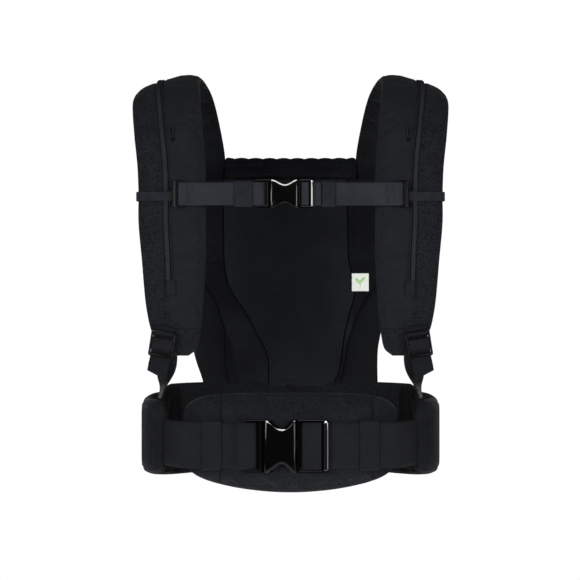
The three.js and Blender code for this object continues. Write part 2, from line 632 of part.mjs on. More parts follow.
function buildLumbarPad() {
  const frames = evenly(14, (step) => {
    const x = PAD.halfLength * Math.sin((Math.PI / 2) * (2 * step - 1));
    const share = Math.abs(x / PAD.reach);
    const top = PAD.top * (1 - share ** 5) ** (1 / 5);
    const bottom = PAD.bottom * (1 - 0.4 * share ** 2) * (1 - share ** 14) ** (1 / 3);
    const base = point(x, padInner(x), (top - bottom) / 2);
    return { base, across: point(0, 0, 1), out: point(0, -1, 0), width: top + bottom, thick: padThick(x) };
  });
  const height = (u, { thick }) => PAD.edge + (thick - PAD.edge) * (1 - u ** 4);
  addNode('lumbar_cover', layer(frames, (u, f) => height(u, f) - SKIN, height, 6), COLOURS.knit);
  const foamTop = (u, f) => height(u, f) - SKIN - LAYER_GAP;
  addNode('lumbar_foam', layer(frames, () => SKIN + LAYER_GAP, foamTop, 6), COLOURS.foam);
  addNode('lumbar_backing', layer(frames, () => 0, () => SKIN, 6), COLOURS.knit);
  const x = KEEPER.x;
  const slope = Math.atan(PAD_WEBBING.slope);
  const high = WAIST_BUCKLE.web + 1.4;
  const keeper = sleeve({ x, y: runY(x), z: 0, length: KEEPER.length, inner: KEEPER.inner, high, slope });
  addPair('lumbar_keeper', keeper, COLOURS.web);
}

buildBelt();
buildPanel();
buildNeckSupport();
buildStraps();
buildAdjusters();
buildBands();
buildSliders();
buildChestStrap();
buildWaistWebbing();
buildLumbarPad();

export default carrier;
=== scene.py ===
"""The looks of a soft baby carrier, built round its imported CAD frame.

Shape code works in millimetres, and make_piece turns them into metres. +X is the wearer's right, +Y points
to the wearer's front, +Z is up, and the origin is the middle of the waist opening.
"""

import math

import bmesh
import bpy
import numpy as np
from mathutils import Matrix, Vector


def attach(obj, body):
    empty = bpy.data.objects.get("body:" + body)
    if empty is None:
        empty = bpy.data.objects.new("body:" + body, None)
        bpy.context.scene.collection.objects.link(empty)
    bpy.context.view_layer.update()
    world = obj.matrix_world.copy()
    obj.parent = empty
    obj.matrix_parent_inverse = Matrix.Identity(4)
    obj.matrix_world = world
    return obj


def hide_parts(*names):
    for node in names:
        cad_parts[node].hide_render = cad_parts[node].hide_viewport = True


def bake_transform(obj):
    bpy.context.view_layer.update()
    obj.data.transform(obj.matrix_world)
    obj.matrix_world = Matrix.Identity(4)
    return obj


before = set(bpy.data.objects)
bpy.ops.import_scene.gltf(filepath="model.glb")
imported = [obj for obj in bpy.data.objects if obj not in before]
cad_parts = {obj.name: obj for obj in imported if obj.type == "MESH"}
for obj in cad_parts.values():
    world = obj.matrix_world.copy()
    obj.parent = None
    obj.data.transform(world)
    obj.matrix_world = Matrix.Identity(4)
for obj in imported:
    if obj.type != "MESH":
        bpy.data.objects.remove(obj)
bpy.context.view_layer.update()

MM = 0.001
SIDES = (("right", False), ("left", True))

# ---------- camera and lights, in metres and watts ----------
LENS_MM = 97.2
CAMERA_PLACE = (-0.0006, -1.8, 0.165)
AIM = (0, -0.05, 0.16)
LIGHTS = {
    "key": {"place": (-0.85, -1.75, 0.35), "aim": AIM, "size": (0.9, 0.5), "power": 22},
    "fill": {"place": (0.95, -1.65, 0.2), "aim": AIM, "size": (0.9, 0.5), "power": 16},
    "back_left": {"place": (-1.0, 1.5, 0.25), "aim": AIM, "size": (0.9, 0.9), "power": 14},
    "back_right": {"place": (1.0, 1.5, 0.25), "aim": AIM, "size": (0.9, 0.9), "power": 14},
}
# Softboxes that only the polished plastic catches, along its upper, lower and right edges.
STRIPS = {
    "top_strip": {"place": (0, -0.75, 1.2), "aim": (0, -0.1, 0.1), "size": (1.2, 1.6), "power": 285},
    "low_strip": {"place": (0, -0.8, -0.6), "aim": (0, -0.12, 0.05), "size": (0.7, 0.3), "power": 7},
    "side_strip": {"place": (1.2, -0.9, 0.1), "aim": (0, -0.12, 0.1), "size": (0.8, 1), "power": 13},
}
BACKDROP = 1.02
SKY = {"colour": (0.93, 0.95, 1, 1), "strength": 0.14}
FLOOR = {"radius": 1.15, "level": -0.46, "colour": (0.85, 0.85, 0.86, 1), "glow": 0.45}

# ---------- sizes, in millimetres ----------
BELT_HALF_THICK = 7
BELT_RIM = 1.2
BELT_TIP = (45, -34.5)
BELT_MIDDLE = (53, -56)
BELT_PLAN = [
    (137, -98), (150, -79), (158.5, -48), (160, -8), (156, 35), (139, 78), (103, 107), (55, 118), (0, 121),
]
BELT_CORNER = 13
BELT_STITCH_SHARE = 1 - 6 / 44
# Seams run this far inside the belt's and lumbar pad's rims, and inside the straps' rims.
SEAM_INSET = 6
STRAP_SEAM_INSET = 5.5

PANEL = {
    "bottom": 54, "pad_top": 172, "mesh_low": 199, "top": 300, "y": 121, "bulge": 20, "curl": 14, "tuck": 6,
}
# Heights of the panel's rows, and how far from the middle its edge, leg pads and liner end on each row.
PANEL_ROWS = [54, 62, 76, 94, 114, 136, 158, 172, 199, 232, 266, 300]
PANEL_LINES = {
    "left": {
        "edge": [106.5, 109, 114, 118.5, 118.5, 118, 116, 115, 113, 113, 113, 113],
        "pad": [76, 78, 80, 80.5, 81, 87, 95.5, 106, 112, 112, 112, 112],
        "liner": [26, 26, 26.3, 31.5, 42.5, 54, 68.5, 76, 81, 81.5, 81.5, 81.5],
        "knit": [14, 13, 11.5, 9, 2, 0, 0, 0, 0, 0, 0, 0],
    },
    "right": {
        "edge": [106, 106, 106, 107, 110.5, 112.5, 113, 113, 113, 113, 113, 113],
        "pad": [61, 64, 67, 70, 75, 83, 96, 106, 112, 112, 112, 112],
        "liner": [53.5, 58, 61, 63.5, 66.5, 72, 78, 79, 71.5, 70, 69, 68.5],
        "knit": [7, 6, 5, 3, 0, 0, 0, 0, 0, 0, 0, 0],
    },
}
SKIN = 2
INNER_GAP = 1.2
# The panel pieces' lower ends are tucked into the belt's top edge.
PANEL_FOOT = PANEL["bottom"] - PANEL["tuck"]
# The liner's offset from the panel's face, and its gap from the side pieces.
LINER_FACE = -INNER_GAP - SKIN
LINER_GAP = 1.3
LEG_PAD = 9
LABEL = {
    "low": 163.5, "high": 185.5, "left": 75.5, "right": 96, "offset": -5.4, "thick": 0.6,
    "sprig": (85.7, 175),
}
NECK = {"bottom": 300.6, "top": 326, "half_width": 80, "thick": 17, "rim": 1.0, "corner": 4, "y": 117}
# The cloth between the panel and the neck roll: its ends, where it leaves the panel, and where it bends.
HINGE = {"low": 290, "high": 309, "leaves": 296, "meets": 304, "gap": 0.9, "y": 125.7, "bend": (296.5, 304.5)}

# The right strap's inner surface, from its lower end over the shoulder to the panel: inner edge x, outer
# edge x, their y, inner edge z, outer edge z.
STRAP_STATIONS = [
    (111, 126, -86, 93, 93), (103, 141, -85, 100, 101), (99, 151, -84, 116, 117), (96, 157.5, -83, 143, 143),
    (92.5, 163, -83, 200, 200), (92.5, 166.5, -83, 240, 240), (92.5, 166.5, -83, 270, 270),
    (93, 167.5, -83, 300, 298), (97, 172, -73, 345, 335), (101, 176, -47, 388, 369),
    (101, 175.5, -3, 404, 382), (91.5, 168, 42, 390, 372), (84, 143, 84, 357, 345),
    (79.6, 122, 110, 324, 320), (79.6, 117, 115, 301, 301),
]
STRAP_THICK = {"middle": 12, "edge": 7, "rim": 3.4}
STRAP_TUCK = 7
RAIL = {"width": 7, "thick": 2, "across": 0.14, "start": 6 / 25, "end": 20 / 25}
RAIL_LOOP = {"at": 0.557, "across": -0.12, "half_wide": 3.6, "half_high": 8, "cord": 1.6}
CHEST_Z = 269
BAND = {"height": 10, "thick": 1.2, "z": 267}
SLIDER = {"x": 122, "y": -104.6, "width": 10, "height": 30, "thick": 3, "bar": 1.3}
ADJUSTER = {
    "x": 138, "y": -103, "z": 113, "width": 27.5, "height": 29, "thick": 3.4, "lean": 9,
    "slots": ((0, 5), (-6.5, -3.5), (-17, -9.8)), "tail_twist": 19,
}
# The loose tail's path over the ladder's bars, in the adjuster's own frame, and the path of the webbing that
# runs from the right adjuster down to the belt.
TAIL_PATH = [
    (0, -2.75, -1.5), (0, -2.75, -10.2), (0, 0, -13.3), (0, 2.75, -16.4), (0, 2.6, -22), (0.3, 0, -29),
    (0.9, -3, -40.5),
]
RUN_PATH = [
    (136.5, -100.6, 104), (135, -98.5, 97), (134, -93, 91), (135, -90, 80), (139, -86, 62),
    (142.5, -87.5, 46.5),
]
PAD = {
    "half_length": 116.3, "reach": 117, "top": 54.5, "bottom": 52.5, "inner": -113.9, "thick": 20,
    "end_thick": 9, "rim": 3.5, "flat": 60, "wrap": 0.0035,
}
PAD_WEBBING = {"y": -137.8, "slope": 0.12, "straight_to": 108}
PAD_SEAMS = (-75, 88)
KEEPER = {"x": 84, "length": 21, "inner": 4.6}
KEEPER_WALL = 1
GAP = 0.3
WAIST_BUCKLE = {
    "web_look": "webbing", "y": -143.2, "z": 0, "web": 50, "web_thick": 2.2, "height": 56,
    "body_half": 7, "frame_half": 3.5, "bar_half": 1.5, "bar_left": -47,
    "slot_left": -42, "slot_right": -31, "body_left": -28,
    "body_right": 6, "waist_x": -9, "waist_depth": 10.5, "frame_right": 40, "bar": (15, 21), "end_bar": 6,
    "loop_end": 41, "tip": -17.5, "edge": 3.1,
}
CHEST_BUCKLE = {
    "web_look": "chest_webbing", "y": -109, "z": CHEST_Z, "web": 25, "web_thick": 1.6, "height": 31,
    "body_half": 5.2, "frame_half": 3, "bar_half": 1.3, "bar_left": -37,
    "slot_left": -33, "slot_right": -25, "body_left": -22,
    "body_right": 8, "waist_x": -6, "waist_depth": 6, "frame_right": 24, "bar": (14, 17), "end_bar": 3,
    "loop_end": 33, "tip": -14, "edge": 2,
}
PRONG_INSET = 3

# ---------- the cloth that blows up the pads, and the finish of moulded plastic ----------
CLOTH = {"frames": 20, "quality": 6, "mass_kg": 0.15, "pressure": 4.0}
WELD_M = 2e-6
CREASE = math.radians(32)

scene = bpy.context.scene
UP = np.array((0.0, 0.0, 1.0))

# The pieces of polished plastic, for the lights that only they catch.
PLASTICS = bpy.data.collections.new("polished")


# ---------- camera, lights and floor ----------
def make_camera():
    data = bpy.data.cameras.new("camera")
    data.sensor_width = 36
    data.lens = LENS_MM
    data.clip_end = 30
    camera = bpy.data.objects.new("camera", data)
    camera.location = CAMERA_PLACE
    camera.rotation_euler = (math.pi / 2, 0, 0)
    scene.collection.objects.link(camera)
    scene.camera = camera


def softbox(name, facts, only=None):
    light = bpy.data.lights.new(name, "AREA")
    light.shape = "RECTANGLE"
    light.size, light.size_y = facts["size"]
    light.energy = facts["power"]
    lamp = bpy.data.objects.new(name, light)
    lamp.location = facts["place"]
    direction = Vector(facts["aim"]) - Vector(facts["place"])
    lamp.rotation_euler = direction.to_track_quat("-Z", "Y").to_euler()
    scene.collection.objects.link(lamp)
    if only:
        lamp.light_linking.receiver_collection = only


def make_studio():
    world = bpy.data.worlds.new("studio")
    scene.world = world
    world.use_nodes = True
    nodes, links = world.node_tree.nodes, world.node_tree.links
    shown = nodes["Background"]
    shown.inputs["Color"].default_value = (1, 1, 1, 1)
    shown.inputs["Strength"].default_value = BACKDROP
    sky = nodes.new("ShaderNodeBackground")
    sky.inputs["Color"].default_value = SKY["colour"]
    sky.inputs["Strength"].default_value = SKY["strength"]
    path = nodes.new("ShaderNodeLightPath")
    mix = nodes.new("ShaderNodeMixShader")
    links.new(path.outputs["Is Camera Ray"], mix.inputs["Fac"])
    links.new(sky.outputs["Background"], mix.inputs[1])
    links.new(shown.outputs["Background"], mix.inputs[2])
    links.new(mix.outputs["Shader"], nodes["World Output"].inputs["Surface"])
    for name, facts in LIGHTS.items():
        softbox(name, facts)
    for name, facts in STRIPS.items():
        softbox(name, facts, PLASTICS)
    scene.view_settings.view_transform = "Standard"


def make_floor():
    count = 96
    turn = np.linspace(0, 2 * math.pi, count, endpoint=False)
    radius = FLOOR["radius"]
    points = [(radius * math.cos(a), radius * math.sin(a), FLOOR["level"]) for a in turn]
    mesh = bpy.data.meshes.new("floor")
    mesh.from_pydata(points, [], [list(range(count))])
    floor = bpy.data.objects.new("floor", mesh)
    scene.collection.objects.link(floor)
    material = bpy.data.materials.new("floor")
    material.use_nodes = True
    shader = material.node_tree.nodes["Principled BSDF"]
    shader.inputs["Base Color"].default_value = FLOOR["colour"]
    shader.inputs["Roughness"].default_value = 0.9
    shader.inputs["Emission Color"].default_value = (1, 1, 1, 1)
    shader.inputs["Emission Strength"].default_value = FLOOR["glow"]
    mesh.materials.append(material)


# ---------- materials ----------
class Value:
    """A number in a look's node tree. Sums, products and powers of it add the nodes that work them out."""

    def __init__(self, look, socket):
        self.look = look
        self.socket = socket

    def __add__(self, other):
        return self.look.math("ADD", self, other)

    def __sub__(self, other):
        return self.look.math("SUBTRACT", self, other)

    def __rsub__(self, other):
        return self.look.math("SUBTRACT", other, self)

    def __mul__(self, other):
        return self.look.math("MULTIPLY", self, other)

    def __pow__(self, other):
        return self.look.math("POWER", self, other)

    def __abs__(self):
        return self.look.math("ABSOLUTE", self)

    def under(self, limit):
        return self.look.math("LESS_THAN", self, limit)

    def wave(self, period):
        return self.look.math("SINE", self * (2 * math.pi / period))

    def pingpong(self, width):
        return self.look.math("PINGPONG", self, width)

    def clamped(self):
        return self.look.math("MINIMUM", self.look.math("MAXIMUM", self, 0.0), 1.0)


class Look:
    """A Principled material whose patterns follow the piece's UVs, in mm, or its object coordinates."""

    def __init__(self, name, roughness, specular=0.3, sheen=0.0, on_uv=True):
        self.material = bpy.data.materials.new(name)
        self.material.use_nodes = True
        self.tree = self.material.node_tree
        self.shader = self.tree.nodes["Principled BSDF"]
        self.shader.inputs["Roughness"].default_value = roughness
        self.shader.inputs["Specular IOR Level"].default_value = specular
        if sheen:
            self.shader.inputs["Sheen Weight"].default_value = sheen
            self.shader.inputs["Sheen Roughness"].default_value = 0.5
        if on_uv:
            coordinates = self.tree.nodes.new("ShaderNodeUVMap")
            coordinates.uv_map = "UVMap"
            self.vector = coordinates.outputs["UV"]
        else:
            self.vector = self.tree.nodes.new("ShaderNodeTexCoord").outputs["Object"]

    def node(self, kind, output, **inputs):
        """The output of a new node whose inputs are numbers, colours, sockets or Values."""
        made = self.tree.nodes.new(kind)
        for key, value in inputs.items():
            self.feed(made.inputs[key.replace("_", " ")], value)
        return made.outputs[output]

    def feed(self, socket, value):
        if isinstance(value, Value):
            value = value.socket
        if isinstance(value, bpy.types.NodeSocket):
            self.tree.links.new(value, socket)
        else:
            socket.default_value = value

    def math(self, operation, a, b=0.0):
        made = self.tree.nodes.new("ShaderNodeMath")
        made.operation = operation
        self.feed(made.inputs[0], a)
        self.feed(made.inputs[1], b)
        return Value(self, made.outputs[0])

    def uv(self):
        split = self.tree.nodes.new("ShaderNodeSeparateXYZ")
        self.feed(split.inputs["Vector"], self.vector)
        return Value(self, split.outputs["X"]), Value(self, split.outputs["Y"])

    def noise(self, scale, detail=2.0):
        socket = self.node("ShaderNodeTexNoise", "Fac", Vector=self.vector, Scale=scale, Detail=detail,
                           Roughness=0.55)
        return Value(self, socket)

    def cells(self, scale):
        return Value(self, self.node("ShaderNodeTexVoronoi", "Distance", Vector=self.vector, Scale=scale))

    def colour(self, value, low, high, colour_low, colour_high):
        """Base colour from one to the other while the value goes from low to high."""
        share = self.node("ShaderNodeMapRange", "Result", Value=value, From_Min=low, From_Max=high)
        mix = self.tree.nodes.new("ShaderNodeMix")
        mix.data_type = "RGBA"
        self.feed(mix.inputs["Factor"], share)
        mix.inputs["A"].default_value = (*colour_low, 1)
        mix.inputs["B"].default_value = (*colour_high, 1)
        self.feed(self.shader.inputs["Base Color"], mix.outputs["Result"])

    def rough(self, value, low, high):
        roughness = self.node("ShaderNodeMapRange", "Result", Value=value, To_Min=low, To_Max=high)
        self.feed(self.shader.inputs["Roughness"], roughness)

    def bump(self, height, depth):
        """Height 1 stands `depth` mm proud."""
        normal = self.node("ShaderNodeBump", "Normal", Height=height, Strength=1.0, Distance=depth * MM)
        self.feed(self.shader.inputs["Normal"], normal)


def grey(value, tint=1.36):
    """A near-black with a cool cast, as linear RGB."""
    return (value, value * (1 + (tint - 1) * 0.2), value * tint)


def knit_look(name, low, high, period=6.6, depth=0.55):
    look = Look(name, 0.9, specular=0.1, sheen=0.03)
    u, v = look.uv()
    rows = (v + u.pingpong(period / 2) * 0.85).wave(period * 0.62)
    loops = (rows + 1.0) * (abs(u.wave(period)) + 0.35)
    # Uneven pebbles break up the knit's regular rows.
    pebbles = 0.7 - look.cells(0.45)
    relief = loops * 0.1 + pebbles * 0.75
    # The base colour darkens where the relief is low: painted shade in the knit's hollows, with a random tone
    # on top.
    look.colour(relief + look.noise(0.05) * 0.35, -0.1, 1.0, grey(low), grey(high))
    look.bump(relief, depth)
    return look.material


def woven_look(name, low, high, thread=0.8, depth=0.06, painted_shade_above=None):
    """Plain fine cloth. It can darken upwards with painted shade: the last argument gives where that starts
    and how far it reaches.
    """
    look = Look(name, 0.85, specular=0.1, sheen=0.02)
    u, v = look.uv()
    over = u.wave(thread) * v.wave(thread)
    slub = look.noise(0.02, 4.0)
    tone = slub + over * 0.12
    if painted_shade_above:
        start, reach = painted_shade_above
        # Painted shade: the tone falls off above the start height.
        tone = tone - ((v - start) * (1 / reach)).clamped()
    look.colour(tone, 0.25, 0.75, grey(low), grey(high))
    look.bump(over + slub * 3.0, depth)
    return look.material


def webbing_look(name, low, high, rib=1.9, depth=0.22):
    look = Look(name, 0.75, specular=0.16)
    u, v = look.uv()
    ribs = (v + u.pingpong(4.2) * 0.9).wave(rib)
    weave = ribs + u.wave(0.7) * 0.4
    look.colour(weave * 0.12 + look.noise(0.03, 3.0), 0.2, 0.8, grey(low), grey(high))
    look.bump(weave, depth)
    return look.material


def elastic_look(name, low, high):
    look = Look(name, 0.8, specular=0.14)
    u, v = look.uv()
    ribs = u.wave(1.3)
    look.colour(ribs * 0.2 + look.noise(0.12, 3.0), 0.2, 0.85, grey(low), grey(high))
    look.bump(ribs + v.wave(0.9) * 0.4, 0.16)
    return look.material


def plastic_look(name, value, roughness, specular, grain=0.004):
    look = Look(name, roughness, specular=specular, on_uv=False)
    smear = look.noise(60.0, 3.0)
    look.colour(smear, 0.3, 0.7, grey(value, 1.05), grey(value * 1.5, 1.05))
    look.rough(smear, roughness * 0.8, roughness * 1.3)
    look.bump(look.noise(1800.0), grain)
    return look.material


def thread_look():
    look = Look("thread", 0.65, specular=0.2, on_uv=False)
    look.colour(look.noise(900.0), 0.3, 0.7, grey(0.007), grey(0.015))
    return look.material


def label_look(centre):
    """White satin with a generic pale green sprig: two leaves and a stalk."""
    look = Look("label_satin", 0.55, specular=0.4)
    u, v = look.uv()
    x, z = u - centre[0], v - centre[1]
    leaves = []
    for shift, lift, slant in ((-2.6, 1.0, 0.9), (2.6, 2.6, -0.9)):
        along = x - shift
        leaning = (z - lift) + along * slant
        leaves.append(((along * (1 / 3.4)) ** 2.0 + (leaning * (1 / 2.6)) ** 2.0).under(1.0))
    stalk = abs(x).under(0.5) * abs(z + 2.5).under(4.5)
    ink = look.math("MAXIMUM", look.math("MAXIMUM", *leaves), stalk)
    look.colour(ink, 0.0, 1.0, (0.88, 0.9, 0.84), (0.42, 0.72, 0.3))
    look.bump(v.wave(0.5), 0.03)
    return look.material


LOOKS = {}


def make_looks():
    LOOKS.update(
        strap_knit=knit_look("strap_knit", 0.0025, 0.0165),
        lining_knit=knit_look("lining_knit", 0.0012, 0.0082, depth=0.6),
        belt_knit=knit_look("belt_knit", 0.0022, 0.012, period=7.4),
        pad_knit=knit_look("pad_knit", 0.0045, 0.0138, period=5.4, depth=0.4),
        smooth=woven_look("smooth_twill", 0.0085, 0.013),
        panel_smooth=woven_look("panel_twill", 0.0075, 0.0125),
        # The gusset darkens upwards towards the straps: painted shade of the straps on it.
        gusset=woven_look("gusset_twill", 0.0035, 0.013, painted_shade_above=(118, 110)),
        # A darker copy of the panel's twill: painted shade, on the leg pads beside the straps and in the
        # lumbar pad's seams.
        cushion=woven_look("shaded_cushion_twill", 0.0038, 0.0062),
        neck=woven_look("neck_twill", 0.0027, 0.0052, thread=1.2, depth=0.12),
        # A near-black twill: painted shade, inside the belt near its tips and in the rail's channel.
        belt_lining=woven_look("shade_lining_twill", 0.0008, 0.0018),
        wing=woven_look("wing_twill", 0.0052, 0.0085, thread=1.6, depth=0.12),
        webbing=webbing_look("webbing", 0.006, 0.011),
        chest_webbing=webbing_look("chest_webbing", 0.0155, 0.029, rib=1.5, depth=0.15),
        rail=webbing_look("rail_tape", 0.013, 0.021, rib=1.1, depth=0.1),
        elastic=elastic_look("elastic", 0.0095, 0.02),
        # Three copies of one black plastic that differ in how strongly they reflect: the shaded copy is
        # painted shade on the buckles' bars and rails, the bright copy a painted highlight on their end bars.
        gloss=plastic_look("gloss_plastic", 0.00004, 0.07, 0.2),
        shaded_gloss=plastic_look("shaded_gloss_plastic", 0.0001, 0.12, 0.012),
        bright_gloss=plastic_look("highlight_gloss_plastic", 0.00004, 0.07, 0.9),
        satin=plastic_look("satin_plastic", 0.0014, 0.28, 0.1, grain=0.01),
        thread=thread_look(),
        label=label_look(LABEL["sprig"]),
    )


# ---------- numbers and curves ----------
def unit(vectors):
    return vectors / np.maximum(np.linalg.norm(vectors, axis=-1, keepdims=True), 1e-9)


def smoothstep(value, low, high):
    t = np.clip((np.asarray(value, float) - low) / (high - low), 0, 1)
    return t * t * (3 - 2 * t)


def curve_at(points, shares):
    """Points on a centripetal Catmull-Rom curve through `points`, at shares of its list of points."""
    p = np.asarray(points, float)
    p = np.vstack([2 * p[0] - p[1], p, 2 * p[-1] - p[-2]])
    at = np.clip(np.atleast_1d(shares), 0, 1) * (len(p) - 3)
    i = np.minimum(at.astype(int), len(p) - 4)
    w = (at - i)[:, None]
    p0, p1, p2, p3 = p[i], p[i + 1], p[i + 2], p[i + 3]
    d0, d1, d2 = (
        np.maximum(np.sqrt(np.linalg.norm(b - a, axis=1)), 1e-4)[:, None]
        for a, b in ((p0, p1), (p1, p2), (p2, p3))
    )
    t1 = ((p1 - p0) / d0 - (p2 - p0) / (d0 + d1) + (p2 - p1) / d1) * d1
    t2 = ((p2 - p1) / d1 - (p3 - p1) / (d1 + d2) + (p3 - p2) / d2) * d1
    return p1 + t1 * w + (3 * (p2 - p1) - 2 * t1 - t2) * w**2 + (2 * (p1 - p2) + t1 + t2) * w**3


def lengths(path):
    """How far along the path each of its points lies."""
    return np.r_[0, np.cumsum(np.linalg.norm(np.diff(path, axis=0), axis=1))]


def between(at, knots, rows):
    """The rows given at `knots`, read at other places `at`."""
    return np.stack([np.interp(at, knots, rows[:, k]) for k in range(3)], 1)


def evenly(path, spacing):
    """The path's points spaced evenly, about `spacing` apart."""
    path = np.asarray(path, float)
    far = lengths(path)
    return between(np.linspace(0, far[-1], max(2, round(far[-1] / spacing) + 1)), far, path)


def smooth_path(points, steps=60):
    return curve_at(points, np.linspace(0, 1, steps + 1))


def across_shares(count):
    """Shares from -1 to 1 across a pad, closer together near its edges."""
    lin = np.linspace(-1, 1, count)
    return 0.6 * lin + 0.4 * np.sin(lin * math.pi / 2)


def resample(field, rows, columns):
    """The field on a finer grid, smooth between its own points."""
    for axis, count in ((0, rows), (1, columns)):
        data = np.moveaxis(field, axis, 0)
        last = len(data) - 1
        at = np.linspace(0, last, count)
        i = np.minimum(at.astype(int), last - 1)
        w = (at - i).reshape(-1, *[1] * (data.ndim - 1))
        a, b, c, d = (data[np.clip(i + k, 0, last)] for k in (-1, 0, 1, 2))
        fine = b + 0.5 * w * (c - a + w * (2 * a - 5 * b + 4 * c - d + w * (3 * (b - c) + d - a)))
        field = np.moveaxis(fine, 0, axis)
    return field


def hump(distance, half):
    """1 where the distance is 0, fading out over about `half`."""
    return np.exp(-((distance / half) ** 2))


def groove(distance, depth, half):
    return -depth * hump(distance, half)


def ripples(seed, x, y, size, count=7):
    """A soft, repeatable unevenness from -1 to 1 over x and y, its bumps about `size` across."""
    draw = np.random.default_rng(seed)
    total = 0
    for _ in range(count):
        angle = draw.uniform(0, 2 * math.pi)
        pitch = size * draw.uniform(0.7, 1.8)
        phase = draw.uniform(0, 2 * math.pi)
        total = total + np.sin(2 * math.pi * (x * math.cos(angle) + y * math.sin(angle)) / pitch + phase)
    return total / count * 1.6


# ---------- meshes ----------
def round_trip(front, back):
    """Rows that run along the front and return along the back."""
    return np.concatenate([front, back[:, ::-1]], axis=1)


def ring_faces(rows, count, looped=False):
    """Quads over rings of points, with flat ends unless the last ring joins the first."""
    spans = rows if looped else rows - 1
    r, i = np.meshgrid(np.arange(spans), np.arange(count), indexing="ij")
    j, s = (i + 1) % count, (r + 1) % rows
    faces = np.stack([r * count + i, r * count + j, s * count + j, s * count + i], -1).reshape(-1, 4)
    if looped:
        return faces
    k = np.arange(count // 2 - 1)
    near = np.stack([k, count - 1 - k, count - 2 - k, k + 1], -1)
    last = (rows - 1) * count
    far = np.stack([k, k + 1, count - 2 - k, count - 1 - k], -1) + last
    return np.vstack([faces, near, far])


def signed_volume(points, faces):
    a, b, c, d = (points[faces[:, k]] for k in range(4))
    first = np.einsum("ij,ij->i", a, np.cross(b, c))
    second = np.einsum("ij,ij->i", a, np.cross(c, d))
    return (first.sum() + second.sum()) / 6


def make_piece(name, points, faces, looks, uvs=None, face_looks=None):
    """A mesh object from points in mm. `faces` is an array of quads, turned outwards, or a list of faces."""
    points = np.asarray(points, float)
    if isinstance(faces, np.ndarray):
        if signed_volume(points, faces) < 0:
            faces = faces[:, ::-1]
        faces = faces.tolist()
    mesh = bpy.data.meshes.new(name)
    mesh.from_pydata((points * MM).tolist(), [], faces)
    if uvs is not None:
        corners = np.empty(len(mesh.loops), np.int32)
        mesh.loops.foreach_get("vertex_index", corners)
        layer = mesh.uv_layers.new(name="UVMap")
        layer.data.foreach_set("uv", np.asarray(uvs, np.float32)[corners].ravel())
    for look in looks:
        mesh.materials.append(LOOKS[look])
    if face_looks is not None:
        mesh.polygons.foreach_set("material_index", np.asarray(face_looks, np.int32))
    mesh.polygons.foreach_set("use_smooth", np.ones(len(mesh.polygons), bool))
    mesh.update()
    piece = bpy.data.objects.new(name, mesh)
    scene.collection.objects.link(piece)
    return piece


def mirrored(points):
    return np.asarray(points) * (-1, 1, 1)


def finish_piece(piece, body, nodes=()):
    """A piece with no body is left unattached."""
    if body:
        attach(piece, body)
    if nodes:
        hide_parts(*nodes)
    return piece


def ring_piece(name, shape, looks, body, nodes=(), face_looks=None, looped=False,
               flip=False):
    """A piece from its shape: rings of points (rows, count, 3) and their UVs in mm (rows, count, 2)."""
    rings, uv = shape
    rows, count = rings.shape[:2]
    faces = ring_faces(rows, count, looped)
    if face_looks is not None:
        spans = rows if looped else rows - 1
        side = face_looks[:spans].reshape(-1)
        face_looks = np.r_[side, np.full(len(faces) - len(side), face_looks[0, 0])]
    if flip:
        rings = mirrored(rings)
    piece = make_piece(name, rings.reshape(-1, 3), faces, looks, uv.reshape(-1, 2), face_looks)
    return finish_piece(piece, body, nodes)


def pad_rings(frames, shares, top, low):
    """Rings and UVs of a pad whose top and low faces stand at these heights on its frames."""
    side = frames["width"][:, None] / 2 * shares
    v = np.repeat(frames["far"][:, None], len(shares), axis=1)
    flat = frames["base"][:, None] + frames["across"][:, None] * side[..., None]
    faces = [flat + frames["out"][:, None] * height[..., None] for height in (top, low)]
    # The low face's pattern lies well away from the top face's.
    return round_trip(*faces), round_trip(np.stack([side, v], -1), np.stack([side + 1000, v], -1))


def raise_faces(rings, frames, top, low=None):
    """Move a pad's top face, and its low face, outwards by these heights."""
    out, count = frames["out"][:, None], rings.shape[1] // 2
    rings[:, :count] += out * top[..., None]
    if low is not None:
        rings[:, count:] -= out * low[:, ::-1, None]


def inflate(rings, pinned, cap, slack):
    """How far each ring point moves when the pad's fabric, a little slack, is blown up between its seams."""
    rows, count = rings.shape[:2]
    faces = ring_faces(rows, count)
    points = rings.reshape(-1, 3) * MM
    if signed_volume(points, faces) < 0:
        faces = faces[:, ::-1]
    mesh = bpy.data.meshes.new("blown")
    mesh.from_pydata(points.tolist(), [], faces.tolist())
    blown = bpy.data.objects.new("blown", mesh)
    scene.collection.objects.link(blown)
    group = blown.vertex_groups.new(name="seams")
    group.add(np.flatnonzero(pinned.reshape(-1)).tolist(), 1.0, "REPLACE")
    cloth = blown.modifiers.new("cloth", "CLOTH")
    settings = cloth.settings
    settings.quality = CLOTH["quality"]
    settings.mass = CLOTH["mass_kg"]
    settings.use_pressure = True
    settings.uniform_pressure_force = CLOTH["pressure"]
    settings.shrink_min = -slack
    settings.vertex_group_mass = "seams"
    settings.effector_weights.gravity = 0
    cloth.collision_settings.use_collision = False
    cloth.point_cache.frame_start = 1
    cloth.point_cache.frame_end = CLOTH["frames"]
    for step in range(CLOTH["frames"]):
        scene.frame_set(step + 1)
    shown = blown.evaluated_get(bpy.context.evaluated_depsgraph_get())
    moved = np.empty(len(points) * 3, np.float32)
    shown.data.vertices.foreach_get("co", moved)
    shift = (moved.reshape(-1, 3) - points) / MM
    size = np.linalg.norm(shift, axis=1, keepdims=True)
    shift *= cap * np.tanh(size / cap) / np.maximum(size, 1e-6)
    bpy.data.objects.remove(blown)
    bpy.data.meshes.remove(mesh)
    scene.frame_set(1)
    return shift.reshape(rings.shape)


